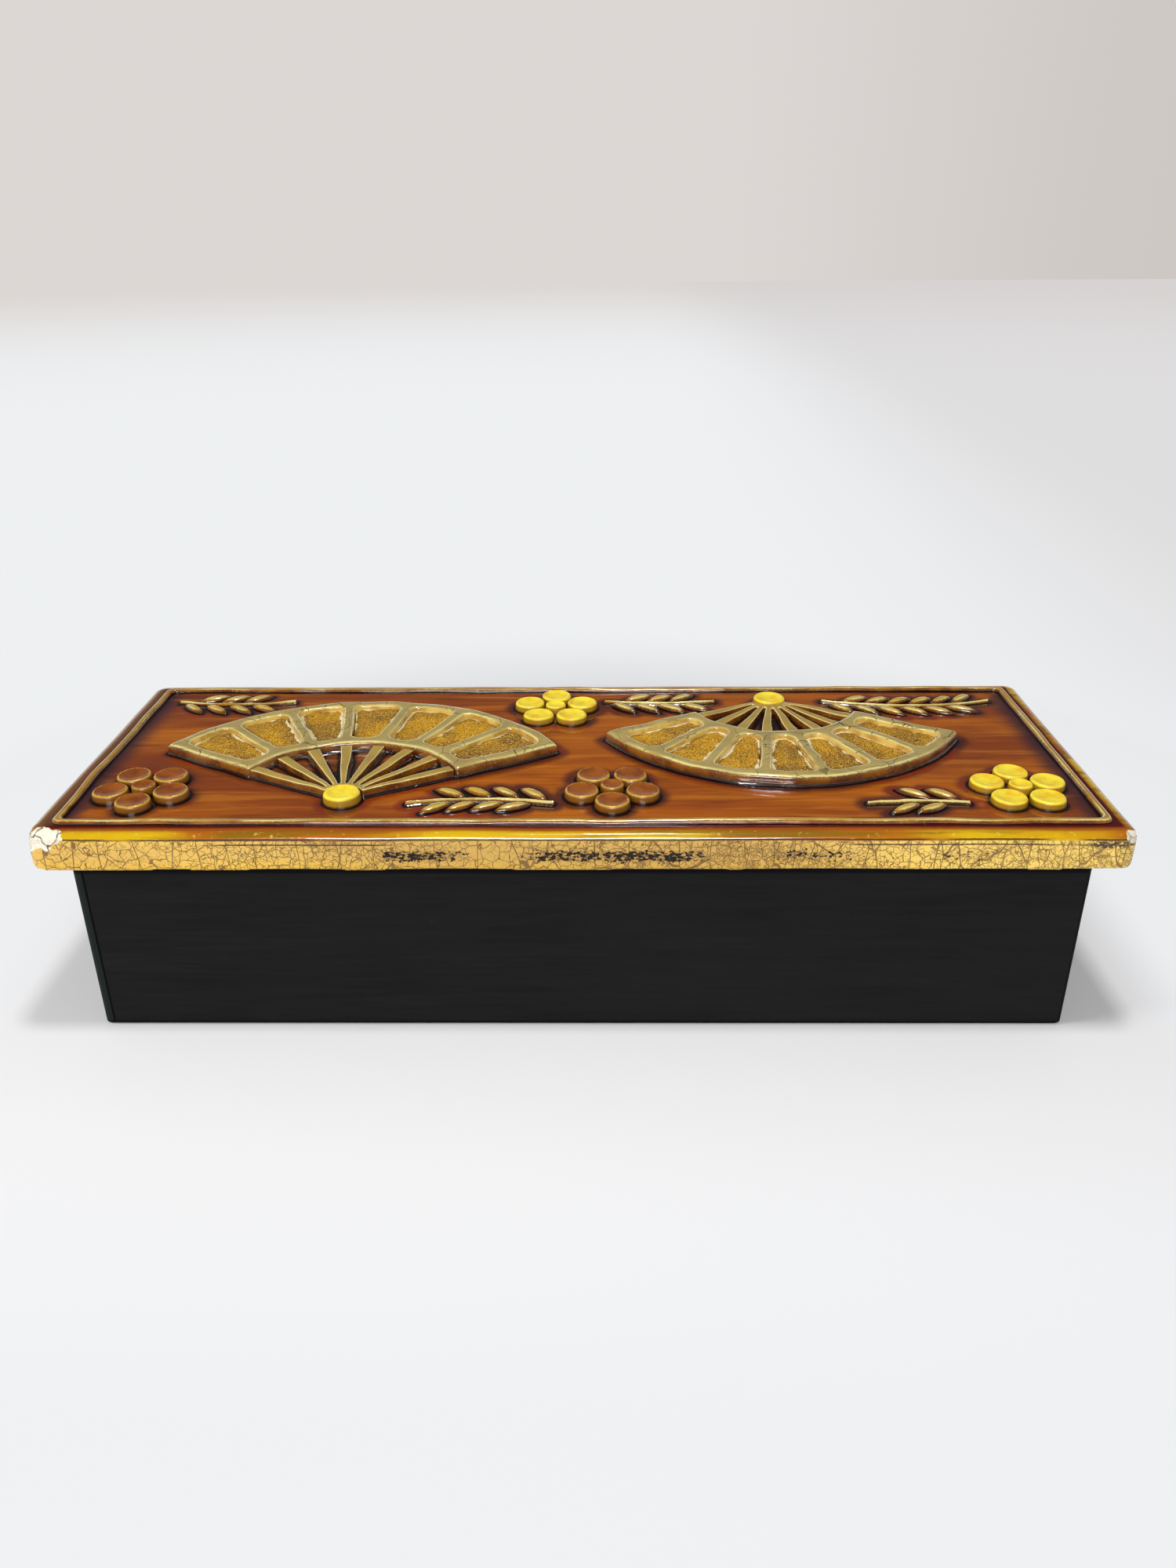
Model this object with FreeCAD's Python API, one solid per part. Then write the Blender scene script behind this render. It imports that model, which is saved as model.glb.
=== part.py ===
"""A writing box: a mitred wooden case under a glazed relief tile, and the ink set that the case holds.

The box stands on z = 0 with its length along X and its front towards -Y, and its origin is the middle of
its foot. The lid is a thick pottery tile with rounded edges. On it lie a clay bead round the edge, two
open fans with sunk panels, plum blossoms and leafy twigs, and a thin board glued under it drops into
the case. Every size is in millimetres.
"""

import FreeCAD
import Part
import math
import os

Vector = FreeCAD.Vector
UP = Vector(0, 0, 1)

# The case: four mitred boards round a base that is held in a groove.
case_length = 285.0
case_width = 95.0
case_height = 57.3
wall_thickness = 7.0
case_corner_round = 2.0
case_foot_bevel = 0.8
base_thickness = 4.0
base_rise = 4.0
groove_depth = 3.5
groove_clearance = 0.15

# The loose tongue that pins each mitre, set across it, stopped short of both ends and covered outside.
tongue_thickness = 2.5
tongue_reach = 6.0
tongue_cover = 1.0
tongue_end_margin = 9.0
tongue_clearance = 0.1

# The tile that is the lid, and the board glued under it.
lid_overhang = 7.5
slab_thickness = 11.4
slab_corner_round = 4.0
slab_top_round = 2.4
slab_foot_bevel = 0.6
locating_thickness = 5.0
locating_clearance = 0.6
locating_chamfer = 1.0

# The clay bead that runs round the tile.
bead_inset = 5.3
bead_width = 2.4
bead_height = 1.3
bead_bevel = 0.7
bead_corner = 3.0

# The two fans: sunk panels between ribs, on sticks that meet at a rivet.
relief_height = 3.4
relief_bevel = 0.7
panel_count = 7
panel_height = 1.9
panel_corner = 1.6
rib_width = 3.6
guard_width = 5.0
leaf_band = 4.2
fan_half_opening = 60.0
fan_end_margin_left = 14.0
fan_end_margin_right = 24.0
fan_middle_gap = 6.0
fan_edge_margin = 12.0
fan_leaf_depth = 34.0
stick_height = 2.4
stick_narrow_end = 1.2
stick_wide_end = 4.0
rivet_radius = 5.5

# The plum blossoms: five discs round a sixth.
petal_count = 5
petal_radius = 5.2
petal_gap = 0.3
petal_height = 2.8
heart_height = 3.2
blossom_edge_margin = 3.0
blossom_middle_offset = 9.0

# The twigs and the leaves along them.
twig_width = 2.2
twig_height = 1.3
twig_bend = 90.0
leaf_length = 11.0
leaf_width = 3.6
leaf_tip = 3.6
leaf_height = 1.8
leaf_angle = 32.0
leaf_gap = 0.4
leaf_start = 2.5
twig_edge_margin = 9.5
twig_blossom_gap = 2.0
twig_pivot_gap = 18.0
twig_fan_gap = 30.0
twig_end_margin = 6.0

# What the case holds. Clearances are to each side.
fitting_thickness = 10.0
fitting_clearance = 0.4
seat_clearance = 0.3
seat_corner_round = 3.0

stone_thickness = 15.0
stone_corner_round = 3.0
stone_edge_bevel = 0.8
stone_border = 4.0
stone_land_depth = 2.0
stone_land_fall = 1.2
stone_sea_depth = 7.0
stone_sea_length = 24.0
stone_shore_length = 14.0
stone_shore_round = 12.0
stone_pool_corner = 5.0
stone_margin = 10.0
stone_rail = 3.1

dropper_side = 36.0
dropper_height = 18.0
dropper_corner_round = 6.0
dropper_edge_bevel = 1.5
dropper_wall = 2.5
dropper_air_hole = 1.5
dropper_spout_height = 2.5
dropper_spout_hole = 1.2
dropper_spout_wall = 1.6
dropper_spout_inset = 8.0
dropper_margin = 13.0

ink_length = 80.0
ink_width = 20.0
ink_thickness = 8.5
ink_edge_bevel = 1.0
ink_panel_depth = 0.4
ink_panel_margin = 3.0
ink_worn_length = 3.0
ink_worn_height = 4.5
ink_recess = 4.0
ink_margin = 11.0
ink_end_margin = 13.0

tray_width = 25.0
tray_height = 16.0
tray_wall = 2.5
tray_floor = 2.5
tray_corner_round = 2.0
tray_pocket_round = 1.5
tray_gap = 0.4

rest_thickness = 5.0
rest_height = 7.0
rest_end_margin = 82.6
rest_notch_depth = 4.0
rest_clearance = 0.3

# Each brush lies along the tray, set off from its middle line. The two point opposite ways.
large_handle_radius = 4.1
large_tuft_length = 34.0
large_end_room = 27.1
large_offset = -5.0
small_handle_radius = 3.0
small_tuft_length = 27.0
small_end_room = 34.6
small_offset = 5.3
collar_length = 9.0
collar_swell = 0.5

# A tuft's outline. Each place is a share of its length, and each girth a share of its handle's radius.
tuft_root_girth = 0.92
tuft_belly_place = 0.25
tuft_shoulder_place = 0.65
tuft_shoulder_girth = 0.7
tuft_tip_radius = 0.4
tuft_sides = 16

# How far a cutting form runs out past the face that it cuts.
cut_overrun = 1.0

# Sizes that follow from those above.
inner_length = case_length - 2 * wall_thickness
inner_width = case_width - 2 * wall_thickness
floor_z = base_rise + base_thickness
slab_length = case_length + 2 * lid_overhang
slab_width = case_width + 2 * lid_overhang
ground_z = case_height + slab_thickness
bead_outer_length = slab_length - 2 * bead_inset
bead_outer_width = slab_width - 2 * bead_inset
field_half_length = bead_outer_length / 2 - bead_width
field_half_width = bead_outer_width / 2 - bead_width
tray_length = inner_length - 2 * tray_gap
pocket_length = tray_length - 2 * tray_wall
pocket_width = tray_width - 2 * tray_wall
middle_of_tray = -(inner_width / 2 - tray_gap - tray_width / 2)
fitting_width = inner_width - tray_width - 2 * tray_gap - fitting_clearance
middle_of_fitting = inner_width / 2 - fitting_clearance - fitting_width / 2
stone_width = fitting_width - 2 * (stone_rail + seat_clearance)
beside_stone = stone_margin + dropper_margin + dropper_side + ink_margin + ink_length + ink_end_margin
stone_length = inner_length - beside_stone


def save(name, *solids):
    """Write one sub-part's file, as one solid or as a group of separate ones."""
    shape = solids[0] if len(solids) == 1 else Part.makeCompound(list(solids))
    shape.exportStep(os.path.join("parts", name + ".step"))


def straight_up(edge):
    """True for a straight vertical edge."""
    start, end = edge.Vertexes[0].Point, edge.Vertexes[-1].Point
    return (start - end).Length > 1e-6 and (start - end).cross(UP).Length < 1e-6


def edges_at(shape, height):
    """The edges that lie in the level plane at that height."""
    near = 0.01
    boxes = [(e, e.BoundBox) for e in shape.Edges]
    return [e for e, box in boxes if abs(box.ZMin - height) < near and abs(box.ZMax - height) < near]


def edges_near(shape, x, z):
    """The straight edges that run along Y at that x and z."""
    near = 0.01
    across = [e for e in shape.Edges if e.BoundBox.XLength + e.BoundBox.ZLength < near]
    return [e for e in across if abs(e.BoundBox.XMin - x) + abs(e.BoundBox.ZMin - z) < near]


def block(length, width, height, foot, x=0.0, y=0.0):
    """A plain block, centred on x and y, standing at foot."""
    return Part.makeBox(length, width, height, Vector(x - length / 2, y - width / 2, foot))


def rounded_block(length, width, height, foot, corner, x=0.0, y=0.0):
    """A block whose four upright corners are rounded."""
    body = block(length, width, height, foot, x, y)
    return body.makeFillet(corner, [e for e in body.Edges if straight_up(e)])


def polar(centre, radius, degrees):
    """The point at that radius and angle about a centre, in the centre's own level."""
    angle = math.radians(degrees)
    return centre + Vector(radius * math.cos(angle), radius * math.sin(angle), 0)


# The case.


def case_envelope():
    """The outer form that the four boards share: upright corners rounded, foot edges bevelled."""
    body = rounded_block(case_length, case_width, case_height, 0, case_corner_round)
    return body.makeChamfer(case_foot_bevel, edges_at(body, 0))


def base_panel(clearance):
    """The base's place: the panel itself at no clearance, and its groove with some."""
    reach = 2 * (groove_depth - groove_clearance + clearance)
    return block(inner_length + reach, inner_width + reach, base_thickness + clearance, base_rise)


def tongue(x_side, y_side, clearance):
    """One loose tongue, or with clearance its slot, across the mitre at that corner."""
    height = case_height - floor_z - 2 * tongue_end_margin
    set_in = tongue_cover + (tongue_reach + tongue_thickness) / 2 / math.sqrt(2)
    x, y = x_side * (case_length / 2 - set_in), y_side * (case_width / 2 - set_in)
    body = block(tongue_reach + 2 * clearance, tongue_thickness + 2 * clearance, height + clearance, 0)
    body.rotate(Vector(0, 0, 0), UP, -45 * x_side * y_side)
    body.translate(Vector(x, y, floor_z + tongue_end_margin))
    return body


def mitred_board(length, across):
    """A board along X at the front: full length outside, its ends cut at 45 degrees."""
    outer, inner = length / 2, length / 2 - wall_thickness
    front, back = -across / 2, -across / 2 + wall_thickness
    corners = [(-outer, front), (outer, front), (inner, back), (-inner, back)]
    outline = Part.makePolygon([Vector(x, y, 0) for x, y in corners + corners[:1]])
    return Part.Face(outline).extrude(UP * case_height)


def make_case():
    """The four boards, each cut for the base's groove and for its two tongues."""
    envelope = case_envelope()
    cuts = base_panel(groove_clearance)
    sides = [(x, y) for x in (-1, 1) for y in (-1, 1)]
    slots = [tongue(x, y, tongue_clearance) for x, y in sides]
    front = mitred_board(case_length, case_width)
    left = mitred_board(case_width, case_length)
    blanks = {
        "front_board": (front, 0),
        "back_board": (front, 180),
        "left_end_board": (left, -90),
        "right_end_board": (left, 90),
    }
    for name, (blank, turn) in blanks.items():
        board = blank.copy()
        board.rotate(Vector(0, 0, 0), UP, turn)
        board = board.common(envelope).cut([cuts] + slots)
        save(name, board.Solids[0])
    save("base_board", base_panel(0))
    save("corner_tongues", *[tongue(x, y, 0) for x, y in sides])


# The lid.


def make_slab():
    """The tile itself, and the board under it that drops between the walls."""
    slab = rounded_block(slab_length, slab_width, slab_thickness, case_height, slab_corner_round)
    slab = slab.makeFillet(slab_top_round, edges_at(slab, ground_z))
    slab = slab.makeChamfer(slab_foot_bevel, edges_at(slab, case_height))
    save("lid_tile", slab)

    foot = case_height - locating_thickness
    board = block(
        inner_length - 2 * locating_clearance,
        inner_width - 2 * locating_clearance,
        locating_thickness,
        foot,
    )
    save("locating_board", board.makeChamfer(locating_chamfer, edges_at(board, foot)))


def make_bead():
    """A coil of clay laid round the tile just in from its edge."""
    outer = rounded_block(bead_outer_length, bead_outer_width, bead_height, ground_z, bead_corner)
    inner = rounded_block(
        2 * field_half_length,
        2 * field_half_width,
        bead_height,
        ground_z,
        bead_corner - bead_width / 2,
    )
    ring = outer.cut(inner)
    save("border_bead", ring.makeChamfer(bead_bevel, edges_at(ring, ground_z + bead_height)))


def fan_outline(pivot, inner, outer, start, end, inset, height):
    """A slice of a ring about the pivot, its straight sides moved in by inset from the two angles."""

    def side_point(radius, angle, direction):
        return polar(pivot, radius, angle + direction * math.degrees(math.asin(inset / radius)))

    middle = (start + end) / 2
    low_start, low_end = side_point(inner, start, 1), side_point(inner, end, -1)
    high_start, high_end = side_point(outer, start, 1), side_point(outer, end, -1)
    edges = [
        Part.LineSegment(low_start, high_start).toShape(),
        Part.Arc(high_start, polar(pivot, outer, middle), high_end).toShape(),
        Part.LineSegment(high_end, low_end).toShape(),
        Part.Arc(low_end, polar(pivot, inner, middle), low_start).toShape(),
    ]
    return Part.Face(Part.Wire(edges)).extrude(UP * height)


def make_fan(name, pivot, radius, facing):
    """One open fan: a leaf with sunk panels, the sticks below it, and the rivet where they meet."""
    leaf_inner = radius - fan_leaf_depth
    first, last = facing - fan_half_opening, facing + fan_half_opening
    step = (last - first) / panel_count
    angles = [first + i * step for i in range(panel_count + 1)]

    def panel(i, height):
        low, high = leaf_inner + leaf_band, radius - leaf_band
        body = fan_outline(pivot, low, high, angles[i], angles[i + 1], rib_width / 2, height)
        return body.makeChamfer(panel_corner, [e for e in body.Edges if straight_up(e)])

    leaf = fan_outline(pivot, leaf_inner, radius, first, last, -guard_width / 2, relief_height)
    leaf = leaf.makeChamfer(relief_bevel, edges_at(leaf, ground_z + relief_height))
    leaf = leaf.cut([panel(i, relief_height) for i in range(panel_count)])
    save(name + "_leaf", leaf.Solids[0])
    save(name + "_panels", *[panel(i, panel_height) for i in range(panel_count)])

    reach = Part.makeCylinder(leaf_inner, stick_height, pivot)
    reach = reach.cut(Part.makeCylinder(rivet_radius, stick_height, pivot))
    narrow, wide = stick_narrow_end / 2, stick_wide_end / 2
    sticks = []
    for angle in angles:
        root, head = rivet_radius / 2, leaf_inner + rivet_radius / 2
        corners = [(root, -narrow), (head, -wide), (head, wide), (root, narrow)]
        outline = Part.makePolygon([Vector(x, y, 0) for x, y in corners + corners[:1]])
        stick = Part.Face(outline).extrude(UP * stick_height)
        stick.rotate(Vector(0, 0, 0), UP, angle)
        stick.translate(pivot)
        sticks.append(stick.common(reach).Solids[0])
    save(name + "_sticks", *sticks)
    save(name + "_rivet", Part.makeCylinder(rivet_radius, relief_height, pivot))


def blossom_ring():
    """How far a petal's middle lies from the blossom's, with a gap between neighbours."""
    return (petal_radius + petal_gap / 2) / math.sin(math.pi / petal_count)


def blossom(centre, turn):
    """Five pellets round a smaller one."""
    ring = blossom_ring()
    spots = [polar(centre, ring, turn + i * 360.0 / petal_count) for i in range(petal_count)]
    petals = [Part.makeCylinder(petal_radius, petal_height, spot) for spot in spots]
    return petals + [Part.makeCylinder(ring - petal_radius - petal_gap, heart_height, centre)]


def leaf_body():
    """One leaf lying on its flat, its stalk end at the origin and its tip along X."""
    half, shoulder = leaf_width / 2, leaf_length - leaf_tip
    corners = [(0, 0), (leaf_tip, -half), (shoulder, -half)]
    corners += [(leaf_length, 0), (shoulder, half), (leaf_tip, half), (0, 0)]
    outline = Part.makePolygon([Vector(x, y, 0) for x, y in corners])
    return Part.Face(outline).extrude(UP * leaf_height)


def sprig(start, end):
    """A ridged twig that bends to the right of its way, and the leaves along both its sides."""
    along = end - start
    half_turn = math.degrees(math.asin(along.Length / 2 / twig_bend))
    left = UP.cross(along).normalize()
    centre = (start + end) / 2 + left * twig_bend * math.cos(math.radians(half_turn))
    first = math.degrees(math.atan2(start.y - centre.y, start.x - centre.x))

    across = (start - centre).normalize() * twig_width / 2
    ridge = start + UP * twig_height
    section = Part.makePolygon([start - across, start + across, ridge, start - across])
    twig = Part.Face(section).revolve(centre, UP, 2 * half_turn)

    leaves = []
    spacing = (leaf_width + leaf_gap) / math.sin(math.radians(leaf_angle)) / 2
    travelled = leaf_start
    hand = 1
    while travelled + leaf_length < along.Length:
        angle = first + math.degrees(travelled / twig_bend)
        leaf = leaf_body()
        leaf.rotate(Vector(0, 0, 0), UP, angle + 90 - hand * leaf_angle)
        leaf.translate(polar(centre, twig_bend + hand * (twig_width / 2 + leaf_gap), angle))
        leaves.append(leaf)
        travelled += spacing
        hand = -hand
    return twig, leaves


def fan_places():
    """Each fan's pivot and radius, as large as its half of the field takes between its margins."""
    room = 2 * (field_half_width - fan_edge_margin)

    def radius(end_margin):
        half_spread = (field_half_length - fan_middle_gap - end_margin - guard_width) / 2
        return min(room, half_spread / math.sin(math.radians(fan_half_opening)))

    left_x = -(field_half_length - fan_end_margin_left + fan_middle_gap) / 2
    right_x = (field_half_length - fan_end_margin_right + fan_middle_gap) / 2
    pivot_y = field_half_width - fan_edge_margin
    left = Vector(left_x, -pivot_y, ground_z), radius(fan_end_margin_left)
    right = Vector(right_x, pivot_y, ground_z), radius(fan_end_margin_right)
    return left, right


def make_relief():
    """Lay the fans, the blossoms and the sprigs out from the field's edges and its middle line."""
    (left_pivot, left_radius), (right_pivot, right_radius) = fan_places()
    make_fan("left_fan", left_pivot, left_radius, 90)
    make_fan("right_fan", right_pivot, right_radius, 270)

    reach = blossom_ring() + petal_radius
    y = field_half_width - blossom_edge_margin - reach
    end_x = field_half_length - blossom_edge_margin - reach
    middle_x = blossom_middle_offset
    gold = [Vector(-middle_x, y, ground_z), Vector(end_x, -y, ground_z)]
    amber = [Vector(middle_x, -y, ground_z), Vector(-end_x, -y, ground_z)]
    save("gold_blossoms", *[pellet for spot in gold for pellet in blossom(spot, 90)])
    save("amber_blossoms", *[pellet for spot in amber for pellet in blossom(spot, 270)])

    clear = reach + twig_blossom_gap
    twig_y = field_half_width - twig_edge_margin
    twig_x = field_half_length - twig_end_margin
    runs = [
        (-twig_x, left_pivot.x - twig_fan_gap, twig_y),
        (-middle_x + clear, right_pivot.x - twig_pivot_gap, twig_y),
        (right_pivot.x + twig_pivot_gap, twig_x, twig_y),
        (middle_x - clear, left_pivot.x + twig_pivot_gap, -twig_y),
        (end_x - clear, right_pivot.x + twig_pivot_gap, -twig_y),
    ]
    sprigs = [sprig(Vector(x, y, ground_z), Vector(x_end, y, ground_z)) for x, x_end, y in runs]
    save("twigs", *[twig for twig, _ in sprigs])
    save("twig_leaves", *[leaf for _, leaves in sprigs for leaf in leaves])


# What the case holds.


def seat(length, width, depth, x):
    """The pocket that a piece of that plan drops into, cut down from the fitting board's top."""
    top = floor_z + fitting_thickness
    return rounded_block(
        length + 2 * seat_clearance,
        width + 2 * seat_clearance,
        depth,
        top - depth,
        seat_corner_round,
        x,
        middle_of_fitting,
    )


def seat_places():
    """The middles of the stone, dropper and ink along X, set out one after another from the left."""
    stone_x = -inner_length / 2 + stone_margin + stone_length / 2
    dropper_x = stone_x + stone_length / 2 + dropper_margin + dropper_side / 2
    ink_x = dropper_x + dropper_side / 2 + ink_margin + ink_length / 2
    return stone_x, dropper_x, ink_x


def make_fitting_board(stone_x, dropper_x, ink_x):
    """The board behind the tray, cut through for the stone and the dropper and sunk for the ink."""
    board = block(
        inner_length - 2 * fitting_clearance,
        fitting_width,
        fitting_thickness,
        floor_z,
        0,
        middle_of_fitting,
    )
    seats = [
        seat(stone_length, stone_width, fitting_thickness, stone_x),
        seat(dropper_side, dropper_side, fitting_thickness, dropper_x),
        seat(ink_length, ink_width, ink_recess, ink_x),
    ]
    save("fitting_board", board.cut(seats).Solids[0])


def make_ink_stone(x):
    """A slate slab with a raised border, a gently falling land for grinding and a deep sea for the ink."""
    y, top = middle_of_fitting, floor_z + stone_thickness
    body = rounded_block(stone_length, stone_width, stone_thickness, floor_z, stone_corner_round, x, y)
    body = body.makeChamfer(stone_edge_bevel, edges_at(body, top))

    left, right = x - stone_length / 2 + stone_border, x + stone_length / 2 - stone_border
    near = y - stone_width / 2 + stone_border
    shore_foot, shore_top = left + stone_sea_length, left + stone_sea_length + stone_shore_length
    land_low = top - stone_land_depth - stone_land_fall
    sea, over = top - stone_sea_depth, top + cut_overrun

    corners = [
        (left, over),
        (left, sea),
        (shore_foot, sea),
        (shore_top, land_low),
        (right, top - stone_land_depth),
        (right, over),
    ]
    outline = Part.makePolygon([Vector(px, near, pz) for px, pz in corners + corners[:1]])
    hollow = Part.Face(outline).extrude(Vector(0, stone_width - 2 * stone_border, 0))
    hollow = hollow.makeFillet(stone_pool_corner, [e for e in hollow.Edges if straight_up(e)])
    creases = edges_near(hollow, shore_foot, sea) + edges_near(hollow, shore_top, land_low)
    hollow = hollow.makeFillet(stone_shore_round, creases)
    save("ink_stone", body.cut(hollow).Solids[0])


def make_water_dropper(x):
    """A hollow glazed bottle for dripping water: an air hole for the finger and a small spout."""
    y, top = middle_of_fitting, floor_z + dropper_height
    body = rounded_block(dropper_side, dropper_side, dropper_height, floor_z, dropper_corner_round, x, y)
    body = body.makeChamfer(dropper_edge_bevel, edges_at(body, top))
    offset = dropper_side / 2 - dropper_spout_inset
    spout = Vector(x - offset, y - offset, top)
    spout_radius = dropper_spout_hole + dropper_spout_wall
    nozzle = Part.makeCylinder(spout_radius, dropper_spout_height, spout)

    side, height = dropper_side - 2 * dropper_wall, dropper_height - 2 * dropper_wall
    hollow = block(side, side, height, floor_z + dropper_wall, x, y)
    down = UP * (dropper_wall + cut_overrun)
    through = dropper_wall + dropper_spout_height + 2 * cut_overrun
    air = Part.makeCylinder(dropper_air_hole, through, Vector(x, y, top) - down)
    drip = Part.makeCylinder(dropper_spout_hole, through, spout - down)
    save("water_dropper", body.fuse(nozzle).cut([hollow, air, drip]).Solids[0])


def make_ink_stick(x):
    """A moulded bar of ink with a sunk panel on its face, one end worn slanting by grinding."""
    y, foot = middle_of_fitting, floor_z + fitting_thickness - ink_recess
    top = foot + ink_thickness
    bar = rounded_block(ink_length, ink_width, ink_thickness, foot, seat_corner_round, x, y)
    bar = bar.makeChamfer(ink_edge_bevel, edges_at(bar, top))
    sunk = rounded_block(
        ink_length - 2 * ink_panel_margin - ink_worn_length,
        ink_width - 2 * ink_panel_margin,
        ink_panel_depth,
        top - ink_panel_depth,
        seat_corner_round / 2,
        x - ink_worn_length,
        y,
    )
    end, over = x + ink_length / 2, cut_overrun
    worn_foot = top - ink_worn_height
    corners = [
        (end - ink_worn_length, top),
        (end, worn_foot),
        (end + over, worn_foot),
        (end + over, top + over),
        (end - ink_worn_length, top + over),
    ]
    outline = Part.makePolygon([Vector(px, y - ink_width, pz) for px, pz in corners + corners[:1]])
    worn = Part.Face(outline).extrude(Vector(0, 2 * ink_width, 0))
    save("ink_stick", bar.cut([sunk, worn]).Solids[0])


def make_tray():
    """The long lift-out tray at the front, and the two notched rests glued across it."""
    body = rounded_block(tray_length, tray_width, tray_height, floor_z, tray_corner_round, 0, middle_of_tray)
    pocket = rounded_block(
        pocket_length,
        pocket_width,
        tray_height - tray_floor,
        floor_z + tray_floor,
        tray_pocket_round,
        0,
        middle_of_tray,
    )
    save("brush_tray", body.cut(pocket))

    rests = []
    for side in (-1, 1):
        x = side * (pocket_length / 2 - rest_end_margin)
        rest = block(rest_thickness, pocket_width, rest_height, floor_z + tray_floor, x, middle_of_tray)
        for radius, offset in ((large_handle_radius, large_offset), (small_handle_radius, small_offset)):
            notch = radius + rest_clearance
            axis_z = brush_axis_height(radius)
            centre = Vector(x - rest_thickness, middle_of_tray + offset, axis_z)
            groove = Part.makeCylinder(notch, 2 * rest_thickness, centre, Vector(1, 0, 0))
            above = block(2 * rest_thickness, 2 * notch, rest_height, axis_z, x, middle_of_tray + offset)
            rest = rest.cut([groove, above])
        rests.append(rest.Solids[0])
    save("brush_rests", *rests)


def brush_axis_height(radius):
    """The height of a brush's axis when it lies in its notches."""
    return floor_z + tray_floor + rest_height - rest_notch_depth + radius + rest_clearance


def faceted_tuft(sections):
    """A tuft along X with flat facets between its many-sided sections, given as (x, radius)."""
    turns = [2 * math.pi * i / tuft_sides for i in range(tuft_sides)]
    rings = [[Vector(x, r * math.cos(t), r * math.sin(t)) for t in turns] for x, r in sections]
    outlines = [rings[0], rings[-1]]
    for ring, beyond in zip(rings, rings[1:]):
        outlines += [[ring[i - 1], ring[i], beyond[i], beyond[i - 1]] for i in range(tuft_sides)]
    return Part.Solid(Part.Shell([Part.Face(Part.makePolygon(o + o[:1])) for o in outlines]))


def make_brush(name, radius, tuft_length, end_room, offset, direction):
    """A bamboo handle cut between two joints, a horn collar and a pointed tuft, end to end along X."""
    total = pocket_length - 2 * end_room
    handle_length = total - collar_length - tuft_length
    axis_point = Vector(-direction * total / 2, middle_of_tray + offset, brush_axis_height(radius))
    along = Vector(direction, 0, 0)
    collar_foot = axis_point + along * handle_length
    save(name + "_handle", Part.makeCylinder(radius, handle_length, axis_point, along))
    save(name + "_collar", Part.makeCylinder(radius + collar_swell, collar_length, collar_foot, along))

    outline = [
        (0, tuft_root_girth * radius),
        (tuft_belly_place * tuft_length, radius),
        (tuft_shoulder_place * tuft_length, tuft_shoulder_girth * radius),
        (tuft_length, tuft_tip_radius),
    ]
    tuft = faceted_tuft([(direction * x, r) for x, r in outline])
    tuft.translate(collar_foot + along * collar_length)
    save(name + "_tuft", tuft)


def main():
    os.makedirs("parts", exist_ok=True)
    make_case()
    make_slab()
    make_bead()
    make_relief()
    stone_x, dropper_x, ink_x = seat_places()
    make_fitting_board(stone_x, dropper_x, ink_x)
    make_ink_stone(stone_x)
    make_water_dropper(dropper_x)
    make_ink_stick(ink_x)
    make_tray()
    make_brush("large_brush", large_handle_radius, large_tuft_length, large_end_room, large_offset, 1)
    make_brush("small_brush", small_handle_radius, small_tuft_length, small_end_room, small_offset, -1)


main()
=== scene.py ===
import math
import random

import bmesh
import bpy
from mathutils import Matrix, Vector, noise
from mathutils.bvhtree import BVHTree


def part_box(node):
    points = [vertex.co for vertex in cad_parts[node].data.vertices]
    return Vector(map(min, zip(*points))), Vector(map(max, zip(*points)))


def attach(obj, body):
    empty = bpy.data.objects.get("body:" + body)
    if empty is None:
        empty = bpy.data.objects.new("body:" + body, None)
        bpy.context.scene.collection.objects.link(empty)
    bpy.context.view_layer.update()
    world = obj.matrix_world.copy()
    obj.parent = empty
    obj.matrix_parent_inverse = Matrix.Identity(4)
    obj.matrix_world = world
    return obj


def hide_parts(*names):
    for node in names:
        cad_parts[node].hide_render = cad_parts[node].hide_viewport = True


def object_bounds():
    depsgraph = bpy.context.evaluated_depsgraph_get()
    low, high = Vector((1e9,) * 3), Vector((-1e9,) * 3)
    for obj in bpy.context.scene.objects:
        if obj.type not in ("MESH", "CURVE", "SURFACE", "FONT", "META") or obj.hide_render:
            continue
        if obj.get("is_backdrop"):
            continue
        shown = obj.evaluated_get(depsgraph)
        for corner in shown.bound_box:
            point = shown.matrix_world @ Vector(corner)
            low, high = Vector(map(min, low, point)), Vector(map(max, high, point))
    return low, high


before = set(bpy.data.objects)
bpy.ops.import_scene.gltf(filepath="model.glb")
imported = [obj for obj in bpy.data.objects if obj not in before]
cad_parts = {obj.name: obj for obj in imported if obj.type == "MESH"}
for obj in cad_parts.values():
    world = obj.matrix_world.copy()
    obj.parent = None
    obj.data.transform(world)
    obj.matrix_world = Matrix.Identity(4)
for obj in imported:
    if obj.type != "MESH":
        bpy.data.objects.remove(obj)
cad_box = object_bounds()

# The case's four boards.
# Boards of a plain softwood, mitred at the corners and planed, then stained and painted black.
# The paint is brushed on along the boards and rubbed back, so that it dries to a faint ribbed satin.

MM = 0.001


def sign(operation):
    """A sign between two values, and its reflected form."""
    return (
        lambda self, other: self.finish.maths(operation, self, other),
        lambda self, other: self.finish.maths(operation, other, self),
    )


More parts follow.
